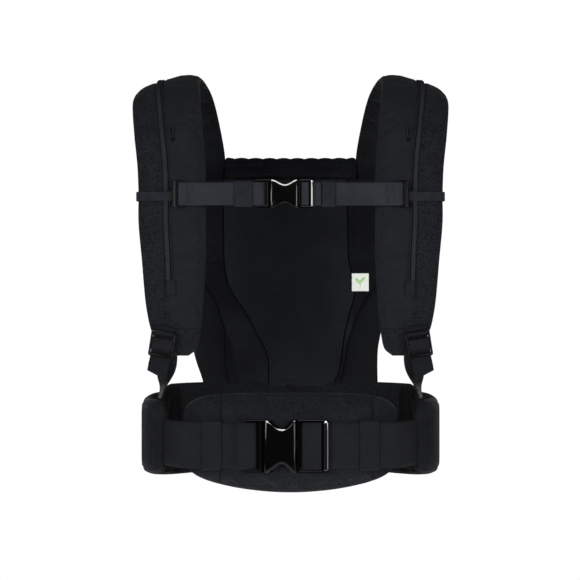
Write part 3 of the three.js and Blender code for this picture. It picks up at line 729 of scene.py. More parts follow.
def stuffed(frames_at, heights, seams, cap, coarse, fine, slack=0.03):
    """A pad's fine rings, UVs, frames and shares, blown up on a coarse grid. Grids are (rows, columns).

    `seams` gives where both faces are held at the rim, and where the top face is sewn down as well.
    """
    rough, shares = frames_at(coarse[0]), across_shares(coarse[1])
    rings, _ = pad_rings(rough, shares, *heights(rough, shares))
    held, sewn = seams(rough, shares)
    shift = inflate(rings, round_trip(held | sewn, held), cap, slack)
    frames, shares = frames_at(fine[0]), across_shares(fine[1])
    rings, uv = pad_rings(frames, shares, *heights(frames, shares))
    half = coarse[1]
    sides = [resample(shift[:, part], *fine) for part in (slice(0, half), slice(half, None))]
    return rings + np.concatenate(sides, axis=1), uv, frames, shares


def ribbon(path, across, width, thick, spacing=1.6, selvedge=0.12, looped=False, wave=0.0, seed=1):
    """Rings and UVs of webbing along a path. `across` is a vector, or a function of the share of the path."""
    path = evenly(path, spacing)
    if looped:
        path = path[:-1]
    rows = len(path)
    if callable(across):
        across = across(np.linspace(0, 1, rows))
    wide = unit(np.ones((rows, 1)) * across)
    if looped:
        along = unit(np.roll(path, -1, 0) - np.roll(path, 1, 0))
    else:
        along = unit(np.gradient(path, axis=0))
    out = unit(np.cross(along, wide))
    shares = across_shares(13)
    edge = np.abs(shares)
    height = thick / 2 * (1 - edge**10 * 0.75) + selvedge * hump(edge - 0.9, 0.05)
    far = lengths(path)
    frames = {"base": path, "across": wide, "out": out, "width": np.full(rows, width), "far": far}
    bend = np.zeros((rows, 1))
    if wave:
        ends = np.minimum(far, far[-1] - far)[:, None]
        bend = wave * ripples(seed, far[:, None], 0 * far[:, None], 55) * smoothstep(ends, 3, 18)
    return pad_rings(frames, shares, height + bend, -height + bend)


def web_piece(name, path, across, width, thick, look, body, nodes=(), flip=False, **shape):
    """A run of webbing; `shape` is passed on to ribbon."""
    rings = ribbon(path, across, width, thick, **shape)
    return ring_piece(name, rings, [look], body, nodes, flip=flip)


def half_turn(x, y, z, radius, side, start_y):
    """Half a turn in the XY plane that bulges to `side` in X, and starts on the start_y side in Y."""
    angle = np.linspace(0, math.pi, 15)
    flat = np.full(len(angle), float(z))
    return np.stack([x + side * radius * np.sin(angle), y + start_y * radius * np.cos(angle), flat], 1)


def stitches(name, path, out, body, pitch=3.3, length=2.3, radius=0.3, flip=False):
    """A row of raised stitches along a path, as one piece. `out` points away from the fabric."""
    path = np.asarray(path, float)
    far = lengths(path)
    count = max(2, int(far[-1] / pitch))
    middle = (np.arange(count) + 0.5) * far[-1] / count
    before, after = between(middle - 0.5, far, path), between(middle + 0.5, far, path)
    centre, along = (before + after) / 2, unit(after - before)
    out = np.asarray(out, float)
    if out.ndim == 1:
        out = np.tile(out, (count, 1))
    else:
        out = between(middle, far, out)
    side = unit(np.cross(out, along))
    out = unit(np.cross(along, side))
    sections = [(-0.5, 0.25, -0.6), (-0.32, 0.9, 0.0), (0.0, 1.1, 0.15), (0.32, 0.9, 0.0), (0.5, 0.25, -0.6)]
    turn = np.linspace(0, 2 * math.pi, 6, endpoint=False)
    rings = []
    for step, swell, sink in sections:
        middle_line = centre + along * (step * length) + out * (radius * sink)
        ring = middle_line[:, None] + radius * swell * (
            side[:, None] * np.cos(turn)[None, :, None] + out[:, None] * np.sin(turn)[None, :, None]
        )
        rings.append(ring)
    points = np.stack(rings, 1).reshape(-1, 3)
    if flip:
        points = mirrored(points)
    one = ring_faces(len(sections), 6)
    faces = (one[None] + (np.arange(count) * len(sections) * 6)[:, None, None]).reshape(-1, 4)
    piece = make_piece(name, points, faces, ["thread"], np.zeros((len(points), 2)))
    finish_piece(piece, body)


# ---------- moulded plates ----------
def rounded_rect(x0, x1, z0, z1, radius, steps=6):
    corners = [(x1 - radius, z0 + radius, -90), (x1 - radius, z1 - radius, 0), (x0 + radius, z1 - radius, 90),
               (x0 + radius, z0 + radius, 180)]
    points = []
    for x, z, start in corners:
        for angle in np.radians(np.linspace(start, start + 90, steps + 1)):
            points.append((x + radius * math.cos(angle), z + radius * math.sin(angle)))
    return points


def bezier(p0, p1, p2, p3):
    t = np.linspace(0, 1, 15)[:, None]
    p0, p1, p2, p3 = (np.array(p, float) for p in (p0, p1, p2, p3))
    line = (1 - t) ** 3 * p0 + 3 * (1 - t) ** 2 * t * p1 + 3 * (1 - t) * t**2 * p2 + t**3 * p3
    return [tuple(p) for p in line]


def plate(outline, holes, front, back, edge, dome=None):
    """Points and faces of a plate drawn in X and Z, from y `front` to `back`, with rounded edges."""
    curve = bpy.data.curves.new("plate", "CURVE")
    curve.dimensions = "2D"
    curve.fill_mode = "BOTH"
    curve.extrude = ((back - front) / 2 - edge) * MM
    curve.bevel_depth = edge * MM
    curve.bevel_resolution = 3
    curve.offset = -edge * MM
    for line, turning in [(outline, 1), *[(hole, -1) for hole in holes]]:
        line = np.asarray(line, float)
        x, z = line.T
        area = (x * np.roll(z, -1) - np.roll(x, -1) * z).sum()
        if area * turning < 0:
            line = line[::-1]
        spline = curve.splines.new("POLY")
        spline.points.add(len(line) - 1)
        flat = np.column_stack([line * MM, np.zeros(len(line)), np.ones(len(line))])
        spline.points.foreach_set("co", flat.ravel())
        spline.use_cyclic_u = True
    holder = bpy.data.objects.new("plate", curve)
    scene.collection.objects.link(holder)
    shown = holder.evaluated_get(bpy.context.evaluated_depsgraph_get())
    mesh = bpy.data.meshes.new_from_object(shown)
    points = np.array([v.co for v in mesh.vertices]) / MM
    faces = [list(p.vertices) for p in mesh.polygons]
    bpy.data.objects.remove(holder)
    bpy.data.meshes.remove(mesh)
    points = np.column_stack([points[:, 0], (front + back) / 2 - points[:, 2], points[:, 1]])
    if dome:
        points[:, 1] += dome(points)
    return points, faces


def block(x0, x1, z0, z1, radius, half, edge):
    """A rounded rectangular plate that reaches `half` to each side of y 0."""
    return plate(rounded_rect(x0, x1, z0, z1, radius), [], -half, half, edge)


def moulded(name, plates, looks, body, node, place=None, flip=False):
    """A plastic piece from several plates, each with its own look, smooth on its rounded edges."""
    points, faces, face_looks, start = [], [], [], 0
    used = sorted(set(looks))
    for (some, their), look in zip(plates, looks):
        face_looks += [used.index(look)] * len(their)
        points.append(some)
        faces += [[v + start for v in face] for face in their]
        start += len(some)
    points = np.vstack(points)
    if place:
        points = place(points)
    if flip:
        points = mirrored(points)
    piece = make_piece(name, points, faces, used, face_looks=face_looks)
    work = bmesh.new()
    work.from_mesh(piece.data)
    bmesh.ops.remove_doubles(work, verts=work.verts, dist=WELD_M)
    bmesh.ops.recalc_face_normals(work, faces=work.faces)
    for edge in work.edges:
        if len(edge.link_faces) == 2 and edge.calc_face_angle(0) > CREASE:
            edge.smooth = False
    work.to_mesh(piece.data)
    work.free()
    slot = "hardware_plastic" if "satin" in looks else "buckle_plastic"
    if slot == "buckle_plastic":
        PLASTICS.objects.link(piece)
    finish_piece(piece, body, [node])


# ---------- waistbelt ----------
def belt_frames(rows):
    half = [(x, y, 0) for x, y in BELT_PLAN]
    plan = half + [(-x, y, 0) for x, y, _ in half[-2::-1]]
    path = evenly(curve_at(plan, np.linspace(0, 1, 1601)), 0.5)
    far = lengths(path)
    # Rows stand closer together at the round corners of the wing tips.
    lin = np.linspace(-1, 1, rows)
    share = 0.5 + 0.5 * (0.75 * lin + 0.25 * np.sin(lin * math.pi / 2))
    at = share * far[-1]
    base = between(at, far, path)
    along = unit(between(at, far, unit(np.gradient(path, axis=0))))
    end_share = np.minimum(share, 1 - share)
    top = BELT_TIP[0] + (BELT_MIDDLE[0] - BELT_TIP[0]) * smoothstep(end_share, 0.225, 0.27)
    bottom = BELT_TIP[1] + (BELT_MIDDLE[1] - BELT_TIP[1]) * smoothstep(end_share, 0, 0.3)
    base[:, 2] = (top + bottom) / 2
    from_tip = np.minimum(at, far[-1] - at)
    short = np.clip(BELT_CORNER - from_tip, 0, BELT_CORNER)
    inset = BELT_CORNER - np.sqrt(BELT_CORNER**2 - short**2)
    out = np.stack([along[:, 1], -along[:, 0], 0 * at], 1)
    return {
        "base": base, "across": np.tile(UP, (rows, 1)), "out": out, "width": top - bottom - 2 * inset,
        "far": at, "from_tip": from_tip,
    }


def build_belt():
    def heights(f, shares):
        tip = np.sqrt(smoothstep(f["from_tip"], -3, 9))[:, None]
        body = (BELT_HALF_THICK - BELT_RIM) * (1 - np.abs(shares) ** 9) ** 0.6
        half = BELT_RIM + body * tip
        return half, -half

    def seams(f, shares):
        held = (np.abs(shares) > 0.97)[None] | (f["from_tip"] < 1.5)[:, None]
        return held, held

    rings, uv, f, shares = stuffed(belt_frames, heights, seams, 0.9, (150, 15), (420, 47))
    side = f["width"][:, None] / 2 * shares
    rim = np.minimum(f["width"][:, None] / 2 - np.abs(side), f["from_tip"][:, None])
    far = f["far"][:, None] + 0 * side
    puckers = 0.35 * np.sin(2 * math.pi * far / 6.5) * hump(rim - SEAM_INSET, 5)
    detail = groove(rim - SEAM_INSET, 0.9, 1.1) + puckers
    near_tip = 1 - smoothstep(f["from_tip"], 48, 70)[:, None]
    ribs = 0.45 * np.sin(2 * math.pi * far / 5.2) * near_tip * smoothstep(rim, 8, 12)
    raise_faces(rings, f, detail + ribs, detail)
    count = len(shares)
    looks = np.zeros(rings.shape[:2], int)
    looks[:, :count] = (near_tip > 0.5) * 1
    # The inner face near the tips takes the near-black twill: painted shade inside the belt.
    looks[:, count:] = (f["from_tip"] < 190)[:, None] * 2
    ring_piece("belt_pad", (rings, uv), ["belt_knit", "wing", "belt_lining"], "carrier",
               ["belt_cover", "belt_foam", "belt_lining"], face_looks=looks)
    for name, flip in SIDES:
        keep = (f["from_tip"] > 6.5) & (f["from_tip"] < 90) & ((f["far"] > 100) == flip)
        rows = np.flatnonzero(keep)
        for edge, share in (("top", 1), ("bottom", -1)):
            column = np.argmin(np.abs(shares - share * BELT_STITCH_SHARE))
            line = rings[rows, column]
            stitches(f"belt_stitch_{edge}_{name}", line, f["out"][rows], "carrier")


# ---------- body panel ----------
def panel_y(x, z):
    """The panel's inner surface: it bulges towards the baby in the middle and curls in at its sides."""
    rise = (z - PANEL["bottom"]) / (PANEL["top"] - PANEL["bottom"])
    bulge, curl = PANEL["bulge"] * np.sin(math.pi * rise), PANEL["curl"] * np.abs(x / 105) ** 3
    return PANEL["y"] - 5 * rise + bulge - curl


def panel_line(side, kind, shift=0.0):
    """The x of one of the panel's lines as a function of height, moved `shift` outwards."""
    halves = PANEL_LINES["right" if side > 0 else "left"][kind]
    knots = np.column_stack([PANEL_ROWS, halves, np.zeros(len(halves))])
    fine = curve_at(knots, np.linspace(0, 1, 240))
    return lambda z: side * (np.interp(z, fine[:, 0], fine[:, 1]) + shift)


def level(offset, drop=0):
    """A slab's face at one offset from the panel's surface, which drops towards its side edges."""
    return lambda x, z, edge: offset + drop * np.abs(edge) ** 8 + 0 * x


def panel_slab(low, high, lines, front, back, rows, columns):
    """Rings and UVs of a slab of the panel, between two lines of x over z and two faces' offsets."""
    z = np.linspace(low, high, rows)[:, None]
    share = (across_shares(columns) + 1) / 2
    left, right = lines
    x = left(z) + (right(z) - left(z)) * share
    z = z + 0 * x
    y = panel_y(x, z)
    edge = 2 * share - 1
    face = np.stack([x, y + front(x, z, edge), z], -1)
    rear = np.stack([x, y + back(x, z, edge), z], -1)
    rings = round_trip(face, rear)
    return rings, rings[..., [0, 2]]


def sheet_piece(name, slab, looks, node, face_looks=None):
    piece = ring_piece(name, slab, looks, "carrier", [node], face_looks=face_looks)


def build_panel():
    def shell_back(x, z, edge):
        return SKIN - 1.2 * np.abs(edge) ** 12 + 0.3 * ripples(3, x, z, 70)

    lines = panel_line(-1, "edge"), panel_line(1, "edge")
    slab = panel_slab(PANEL_FOOT, PANEL["top"], lines, level(0, 0.4), shell_back, 110, 81)
    sheet_piece("panel_outer", slab, ["belt_knit"], "panel_shell")

    def liner_front(x, z, edge):
        near_edge = 1 - np.abs(edge)
        folds = 1.5 * ripples(5, x, z * 0.45, 46) * smoothstep(near_edge, 0.02, 0.35)
        drape = -2.0 * hump(x - 22 + 0.35 * (z - 150), 9) * smoothstep(z, 90, 170)
        drape = drape - 1.6 * hump(x + 20 - 0.5 * (z - 110), 10) * (1 - smoothstep(z, 110, 190))
        pull = 0.35 * np.sin(z / 1.3) * hump(near_edge - 0.05, 0.06)
        seam = 0.9 * hump(near_edge - 0.06, 0.018)
        hem = 0.8 * hump(z - PANEL["bottom"] - 2, 1.2)
        crown = 1.6 * (1 - np.abs(edge) ** 6)
        return LINER_FACE - crown + folds + drape * (1 - edge**4) + pull + seam + hem

    lines = panel_line(-1, "liner"), panel_line(1, "liner")
    slab = panel_slab(PANEL_FOOT, PANEL["top"], lines, liner_front, level(-INNER_GAP), 150, 71)
    sheet_piece("seat_liner", slab, ["panel_smooth"], "panel_liner")
    build_panel_side(-1, "left")
    build_panel_side(1, "right")

    def label_back(x, z, edge):
        return LABEL["offset"] - 0.5 * np.abs(edge) ** 2 + 0.25 * np.sin(z / 4)

    def label_front(x, z, edge):
        return label_back(x, z, edge) - LABEL["thick"]

    lines = [lambda z, x=LABEL[key]: x + 0 * z for key in ("left", "right")]
    slab = panel_slab(LABEL["low"], LABEL["high"], lines, label_front, label_back, 16, 15)
    sheet_piece("sewn_label", slab, ["label"], "care_label")


def build_panel_side(side, name):
    """The knit strip beside the liner, the smooth gusset below it and the leg opening's pad, on one side."""
    def ordered(near, far):
        return (near, far) if side > 0 else (far, near)

    def gusset_front(x, z, edge):
        seam = 0.7 * hump(np.abs(edge) - 0.9, 0.04)
        slack = 0.4 * ripples(7, x, z, 34) * smoothstep(1 - side * edge, 0, 0.5)
        return LINER_FACE - 0.8 * (1 - edge**6) + seam + slack

    def strip_front(x, z, edge):
        return LINER_FACE + 0.8 * np.abs(edge) ** 8 + 0.35 * ripples(9, x, z, 24)

    def pad_front(x, z, edge):
        crown = (1 - np.abs(edge) ** 3.2) ** 0.75
        ends = smoothstep(np.minimum(z - PANEL_FOOT, PANEL["pad_top"] - z), -2, 14)
        puckers = 0.3 * np.sin(z / 1.1) * hump(np.abs(edge) - 0.9, 0.08)
        return -INNER_GAP - 1.2 - (LEG_PAD - INNER_GAP - 1.0) * crown * (0.25 + 0.75 * ends) + puckers

    beside_liner = panel_line(side, "liner", LINER_GAP)
    lines = ordered(beside_liner, panel_line(side, "pad", -0.6))
    slab = panel_slab(PANEL_FOOT, PANEL["mesh_low"], lines, gusset_front, level(-INNER_GAP), 90, 33)
    x, z = np.abs(slab[0][..., 0]), slab[0][..., 2]
    # The gusset ends in a strip of knit along the leg pad.
    knitted = x > np.abs(panel_line(side, "pad")(z)) - np.abs(panel_line(side, "knit")(z))
    sheet_piece(f"seat_gusset_{name}", slab, ["gusset", "lining_knit"], f"seat_side_{name}",
                face_looks=knitted.astype(int))

    lines = ordered(beside_liner, panel_line(side, "edge", -1))
    slab = panel_slab(PANEL["mesh_low"], PANEL["top"], lines, strip_front, level(-INNER_GAP), 70, 25)
    sheet_piece(f"panel_mesh_{name}", slab, ["lining_knit"], f"side_mesh_{name}")

    lines = ordered(panel_line(side, "pad"), panel_line(side, "edge"))
    slab = panel_slab(PANEL_FOOT, PANEL["pad_top"], lines, pad_front, level(-INNER_GAP), 80, 29)
    # The leg pad takes the darker twill: painted shade of the strap on it.
    ring_piece(f"leg_cushion_{name}", slab, ["cushion"], "carrier", [f"leg_pad_{name}"])


# ---------- neck support ----------
def upright_frames(base, width, far):
    """Frames of a pad that stands across X and faces the wearer."""
    ones = np.ones((len(base), 1))
    out = np.array((0, -1.0, 0)) * ones
    return {"base": base, "across": UP * ones, "out": out, "width": width, "far": far}


def neck_y(x):
    return NECK["y"] - 5 * (x / NECK["half_width"]) ** 2


def neck_frames(rows):
    x = NECK["half_width"] * np.sin(np.linspace(-1, 1, rows) * math.pi / 2 * 0.999)
    scallop = 1.5 * np.abs(np.sin(math.pi * x / 17)) ** 0.8 - 0.9
    from_end, corner = NECK["half_width"] - np.abs(x), NECK["corner"]
    short = np.clip(corner - from_end, 0, corner)
    inset = corner - np.sqrt(corner**2 - short**2)
    top = NECK["top"] + scallop - inset
    base = np.stack([x, neck_y(x), (top + NECK["bottom"]) / 2], 1)
    return upright_frames(base, top - NECK["bottom"], x + NECK["half_width"]) | {"from_end": from_end}


def build_neck_support():
    def heights(f, shares):
        tip = np.sqrt(smoothstep(f["from_end"], -2, 10))[:, None]
        body = (NECK["thick"] / 2 - NECK["rim"]) * (1 - np.abs(shares) ** 3.5) ** 0.6
        half = NECK["rim"] + body * tip
        return half, -half

    def seams(f, shares):
        held = (np.abs(shares) > 0.96)[None] | (f["from_end"] < 1)[:, None]
        return held, held

    rings, uv, f, shares = stuffed(neck_frames, heights, seams, 2.2, (44, 11), (150, 33))
    side = f["width"][:, None] / 2 * shares
    gathers = 0.5 * np.sin(2 * math.pi * f["far"][:, None] / 8.5) * hump(side - 2, 9)
    raise_faces(rings, f, groove(side - 1, 1.5, 1.3) + gathers)
    ring_piece("neck_roll", (rings, uv), ["neck"], "neck_support",
               ["neck_lining", "neck_foam", "neck_cover"])

    # A strip of the panel's cloth joins the roll to the panel's outer face.
    half, gap = NECK["half_width"], HINGE["gap"]
    heights_up = np.linspace(HINGE["low"], HINGE["high"], 24)
    x, z = np.meshgrid(np.linspace(-half, half, 80), heights_up, indexing="ij")
    on_roll = neck_y(x) + NECK["thick"] / 2 + gap
    on_panel = panel_y(x, np.minimum(z, PANEL["top"])) + SKIN + gap
    y = on_panel + (on_roll - on_panel) * smoothstep(z, HINGE["leaves"], HINGE["meets"])
    rings = round_trip(np.stack([x, y + gap, z], -1), np.stack([x, y, z], -1))
    hinge = ring_piece("neck_hinge_cloth", (rings, rings[..., [0, 2]]), ["neck"], None)
    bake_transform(hinge)


# ---------- shoulder straps ----------
STRAP_INNER = [(xi, y, zi) for xi, _, y, zi, _ in STRAP_STATIONS]
STRAP_OUTER = [(xo, y, zo) for _, xo, y, _, zo in STRAP_STATIONS]


def strap_at(shares):
    inner, outer = curve_at(STRAP_INNER, shares), curve_at(STRAP_OUTER, shares)
    step = 1e-3
    near, later = np.clip(shares - step, 0, 1), np.clip(shares + step, 0, 1)
    along = sum(unit(curve_at(line, later) - curve_at(line, near)) for line in (STRAP_INNER, STRAP_OUTER))
    across = outer - inner
    width = np.linalg.norm(across, axis=1)
    across = unit(across)
    out = -unit(np.cross(unit(along), across))
    return {"base": (inner + outer) / 2, "across": across, "out": out, "width": width, "share": shares}


def strap_frames(rows):
    dense = np.linspace(0, 1, 2001)
    middle = (curve_at(STRAP_INNER, dense) + curve_at(STRAP_OUTER, dense)) / 2
    far = lengths(middle)
    at = np.linspace(0, far[-1] + STRAP_TUCK, rows)
    f = strap_at(np.interp(at, far, dense))
    # The sewn end carries on down over the panel's corner.
    f["base"] += np.maximum(at - far[-1], 0)[:, None] * unit(middle[-1] - middle[-40])
    f["far"] = at
    return f


def strap_thickness(shares):
    edge = STRAP_THICK["edge"]
    return edge + (STRAP_THICK["middle"] - edge) * (1 - np.abs(shares) ** 4)


def lobe_seam(x):
    """Height of the curved seam across the strap's lobe, over x on the right strap."""
    return 122 + 44 * smoothstep(x, 104, 162) ** 1.4


def build_straps():
    def heights(f, shares):
        edge = np.abs(shares)
        rim = STRAP_THICK["rim"]
        tip = np.sqrt(smoothstep(f["far"], -4, 12))[:, None]
        top = rim + (strap_thickness(shares) - rim) * (1 - edge**7) ** 0.6 * tip
        low = 2.4 * edge**7 + 0 * tip + 1.2 * (1 - tip)
        return top, low

    def seams(f, shares):
        ends = (f["far"] < 2) | (f["far"] > f["far"][-1] - 2)
        held = (np.abs(shares) > 0.97)[None] | ends[:, None]
        rail = (np.abs(shares - RAIL["across"]) < 0.09) & (np.abs(shares) < 0.9)
        return held, rail[None]

    rings, uv, f, shares = stuffed(strap_frames, heights, seams, 1.4, (120, 15), (330, 53), slack=0.02)
    count = len(shares)
    side = f["width"][:, None] / 2 * shares
    far = f["far"][:, None] + 0 * side
    from_seam = f["width"][:, None] / 2 - np.abs(side) - STRAP_SEAM_INSET
    rail_line = f["width"][:, None] / 2 * RAIL["across"]
    x, y, z = np.moveaxis(rings[:, :count], -1, 0)
    front = y < -60
    below = z - lobe_seam(x)
    knitted = (side > rail_line) | (front & (below < 0) & (z < 175))
    edge_seam = groove(from_seam, 0.7, 1.0)
    beside_rail = groove(np.abs(side - rail_line) - 4.6, 0.8, 1.0) * (far > 60)
    puckers = 0.22 * np.sin(2 * math.pi * far / 7) * hump(from_seam, 4)
    lobe_line = groove(below, 0.9, 1.2) * front * (z < 178)
    pebbles = 0.1 * ripples(11, side, far, 4.5, count=9) * knitted
    # The chest strap's band presses a crease into the pad.
    crease = groove(z - BAND["z"] + 7.2, 1.2, 1.1) * front
    lining = 0.2 * ripples(12, side, far, 8, count=9) + groove(from_seam, 0.6, 1.0)
    raise_faces(rings, f, edge_seam + beside_rail + puckers + lobe_line + pebbles + crease, lining)
    looks = np.full(rings.shape[:2], 2)
    looks[:, :count] = np.where(knitted, 1, 0)
    stitched = np.flatnonzero((f["far"] > 12) & (f["far"] < f["far"][-1] - 8))
    half = f["width"][stitched] / 2
    for name, flip in SIDES:
        nodes = [f"strap_{layer}_{name}" for layer in ("cover", "foam", "lining")]
        ring_piece(f"shoulder_pad_{name}", (rings, uv), ["smooth", "strap_knit", "lining_knit"], "carrier",
                   nodes, face_looks=looks, flip=flip)
        for edge, share in (("inner", -1), ("outer", 1)):
            column = [np.argmin(np.abs(h * shares - share * (h - STRAP_SEAM_INSET))) for h in half]
            out = f["out"][stitched]
            line = rings[stitched, column] + out * 0.25
            stitches(f"strap_stitch_{edge}_{name}", line, out, "carrier", flip=flip)


def on_cover(f, across, lift):
    base = f["base"] + f["across"] * (f["width"] * across / 2)[:, None]
    return base + f["out"] * (STRAP_THICK["middle"] + lift)


def build_rails():
    shares = np.linspace(RAIL["start"], RAIL["end"], 260)
    f = strap_at(shares)
    line = on_cover(f, RAIL["across"], 0.8 + RAIL["thick"] / 2 - 0.5)
    far = lengths(line)
    columns = across_shares(15)
    bead = 0.4 * hump(columns - 0.4, 0.4) - 0.9 * hump(columns + 0.5, 0.2)
    height = RAIL["thick"] / 2 * (1 - np.abs(columns) ** 6) + 0.25 + bead + 0 * far[:, None]
    frames = f | {"base": line, "width": np.full(260, RAIL["width"] * 1.0), "far": far}
    shape = pad_rings(frames, columns, height, np.full(height.shape, -0.8))
    # A channel runs along the rail beside its bead, in the near-black twill: painted shade in its groove.
    shaded_channel = np.zeros(shape[0].shape[:2], int)
    shaded_channel[:, : len(columns) - 1] = np.abs((columns[1:] + columns[:-1]) / 2 + 0.5) < 0.24
    # The rail's lower end is sewn under a small tab.
    tab = strap_at(np.linspace(RAIL["start"] - 0.004, RAIL["start"] + 0.016, 14))
    tab_line = on_cover(tab, RAIL["across"] * 0.6, 2.6)

    def tab_across(share):
        return between(share, np.linspace(0, 1, 14), tab["across"])

    for name, flip in SIDES:
        ring_piece(f"slide_rail_{name}", shape, ["rail", "belt_lining"], "carrier",
                   [f"rail_{name}"], face_looks=shaded_channel, flip=flip)
        web_piece(f"rail_end_{name}", tab_line, tab_across, 10, 1.0, "smooth", "carrier", flip=flip)
        build_rail_loop(name, flip)


def build_rail_loop(name, flip):
    """A small elastic loop that lies on the strap, and the bead that holds its narrow end."""
    seat = strap_at(np.array([RAIL_LOOP["at"]]))
    across, out = seat["across"][0], seat["out"][0]
    along = np.cross(out, across)
    middle = on_cover(seat, RAIL_LOOP["across"], 2.2 + RAIL_LOOP["cord"] / 2)[0]
    turn = np.linspace(0, 2 * math.pi, 49)[:-1]
    pinch = 0.55 + 0.45 * np.sin(turn)
    path = middle + np.outer(RAIL_LOOP["half_wide"] * np.cos(turn) * pinch, across)
    path = path + np.outer(RAIL_LOOP["half_high"] * np.sin(turn), along)
    tangent = unit(np.roll(path, -1, 0) - np.roll(path, 1, 0))
    side = unit(np.cross(tangent, out))
    angle = np.linspace(0, 2 * math.pi, 10, endpoint=False)
    radius = RAIL_LOOP["cord"] / 2
    round_it = side[:, None] * np.cos(angle)[None, :, None] + out * np.sin(angle)[None, :, None]
    rings = path[:, None] + radius * round_it
    far = np.arange(len(path)) * 0.9
    uv = np.stack(np.broadcast_arrays(angle[None] * radius, far[:, None]), -1)
    ring_piece(f"elastic_loop_{name}", (rings, uv), ["elastic"], "carrier", [f"rail_loop_{name}"],
               looped=True, flip=flip)
    bead = middle - along * (RAIL_LOOP["half_high"] + 0.6)
    rows = np.linspace(-math.pi / 2, math.pi / 2, 13)[1:-1]
    turn = np.linspace(0, 2 * math.pi, 16, endpoint=False)
    circle = np.outer(np.cos(turn), across) + np.outer(np.sin(turn), out)
    axis = np.outer(np.ones(16), along)
    ball = bead + np.stack([axis * (2.1 * math.sin(r)) + 1.7 * math.cos(r) * circle for r in rows])
    ring_piece(f"loop_bead_{name}", (ball, np.zeros((*ball.shape[:2], 2))), ["satin"], "carrier",
               flip=flip)


# ---------- strap adjusters ----------
def lean(points):
    """Move points from the right adjuster's own upright frame to its leaning place on the strap."""
    angle = -math.radians(ADJUSTER["lean"])
    c, s = math.cos(angle), math.sin(angle)
    x, y, z = np.asarray(points, float).T
    return np.stack([x * c + z * s, y, z * c - x * s], 1) + (ADJUSTER["x"], ADJUSTER["y"], ADJUSTER["z"])


def build_adjusters():
    width, height, thick = ADJUSTER["width"], ADJUSTER["height"], ADJUSTER["thick"]
    web = width - 5
    outline = rounded_rect(-width / 2, width / 2, 8 - height, 8, 2.8)
    half = web / 2 + 0.1
    holes = [rounded_rect(-half, half, low, high, 0.9, 3) for low, high in ADJUSTER["slots"]]
    ladder = plate(outline, holes, -thick / 2, thick / 2, 0.9)
    tilt = math.radians(ADJUSTER["lean"])
    across = np.array((math.cos(tilt), 0, math.sin(tilt)))
    angle = np.linspace(0, math.pi, 15)
    turn = np.stack([0 * angle, 3 * np.cos(angle), 6.2 - 3 * np.sin(angle)], 1)
    tab = np.vstack([[(0, 5.4, 13)], [(0, 4.4, 11.5)], [(0, 3.4, 9.5)], turn])
    tail, run = smooth_path(TAIL_PATH), smooth_path(RUN_PATH, 90)
    start, end = unit(np.array((1.0, 0, -0.15))), np.array((0.25, 0.97, 0))

    def twist(share):
        turning = smoothstep(share, 0.3, 0.95)[:, None]
        return start + (end - start) * turning

    def swing(share):
        angle = tilt + math.radians(ADJUSTER["tail_twist"]) * smoothstep(share, 0.55, 1)
        return np.stack([np.cos(angle), 0 * angle, np.sin(angle)], 1)

    for name, flip in SIDES:
        body = f"adjuster_{name}"
        moulded(f"ladder_lock_{name}", [ladder], ["satin"], body, body, place=lean, flip=flip)
        web_piece(f"adjuster_tab_web_{name}", lean(tab), across, web, 1.4, "webbing", "carrier",
                  [f"adjuster_tab_{name}"], flip, spacing=0.9)
        web_piece(f"adjuster_tail_web_{name}", lean(tail), swing, web, 1.5, "webbing", body,
                  [f"adjuster_tail_{name}"], flip, spacing=0.9)
        piece = web_piece(f"adjuster_run_web_{name}", run, twist, web - 1, 1.5, "webbing", None,
                          [f"adjuster_webbing_{name}"], flip)
        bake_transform(piece)


# ---------- side-release buckles ----------
def waisted_outline(b, left, half):
    """The socket half's outline from x `left` to its mouth, drawn in at the two thumb grips."""
    dip, x = half - 0.88 * b["waist_depth"], b["waist_x"]
    right = b["body_right"]
    start, end = left + 2, right - 1
    before, after = x - start, end - x
    line = bezier((start, -half), (x - 0.65 * before, -half), (x - 0.35 * before, -dip), (x, -dip))
    line += bezier((x, -dip), (x + 0.35 * after, -dip), (x + 0.65 * after, -half), (end, -half))[1:]
    line += [(right, -half + 1), (right, half - 1)]
    line += bezier((end, half), (x + 0.65 * after, half), (x + 0.35 * after, dip), (x, dip))
    line += bezier((x, dip), (x - 0.35 * before, dip), (x - 0.65 * before, half), (start, half))[1:]
    line += [(left, half - 2), (left, 2 - half)]
    return line


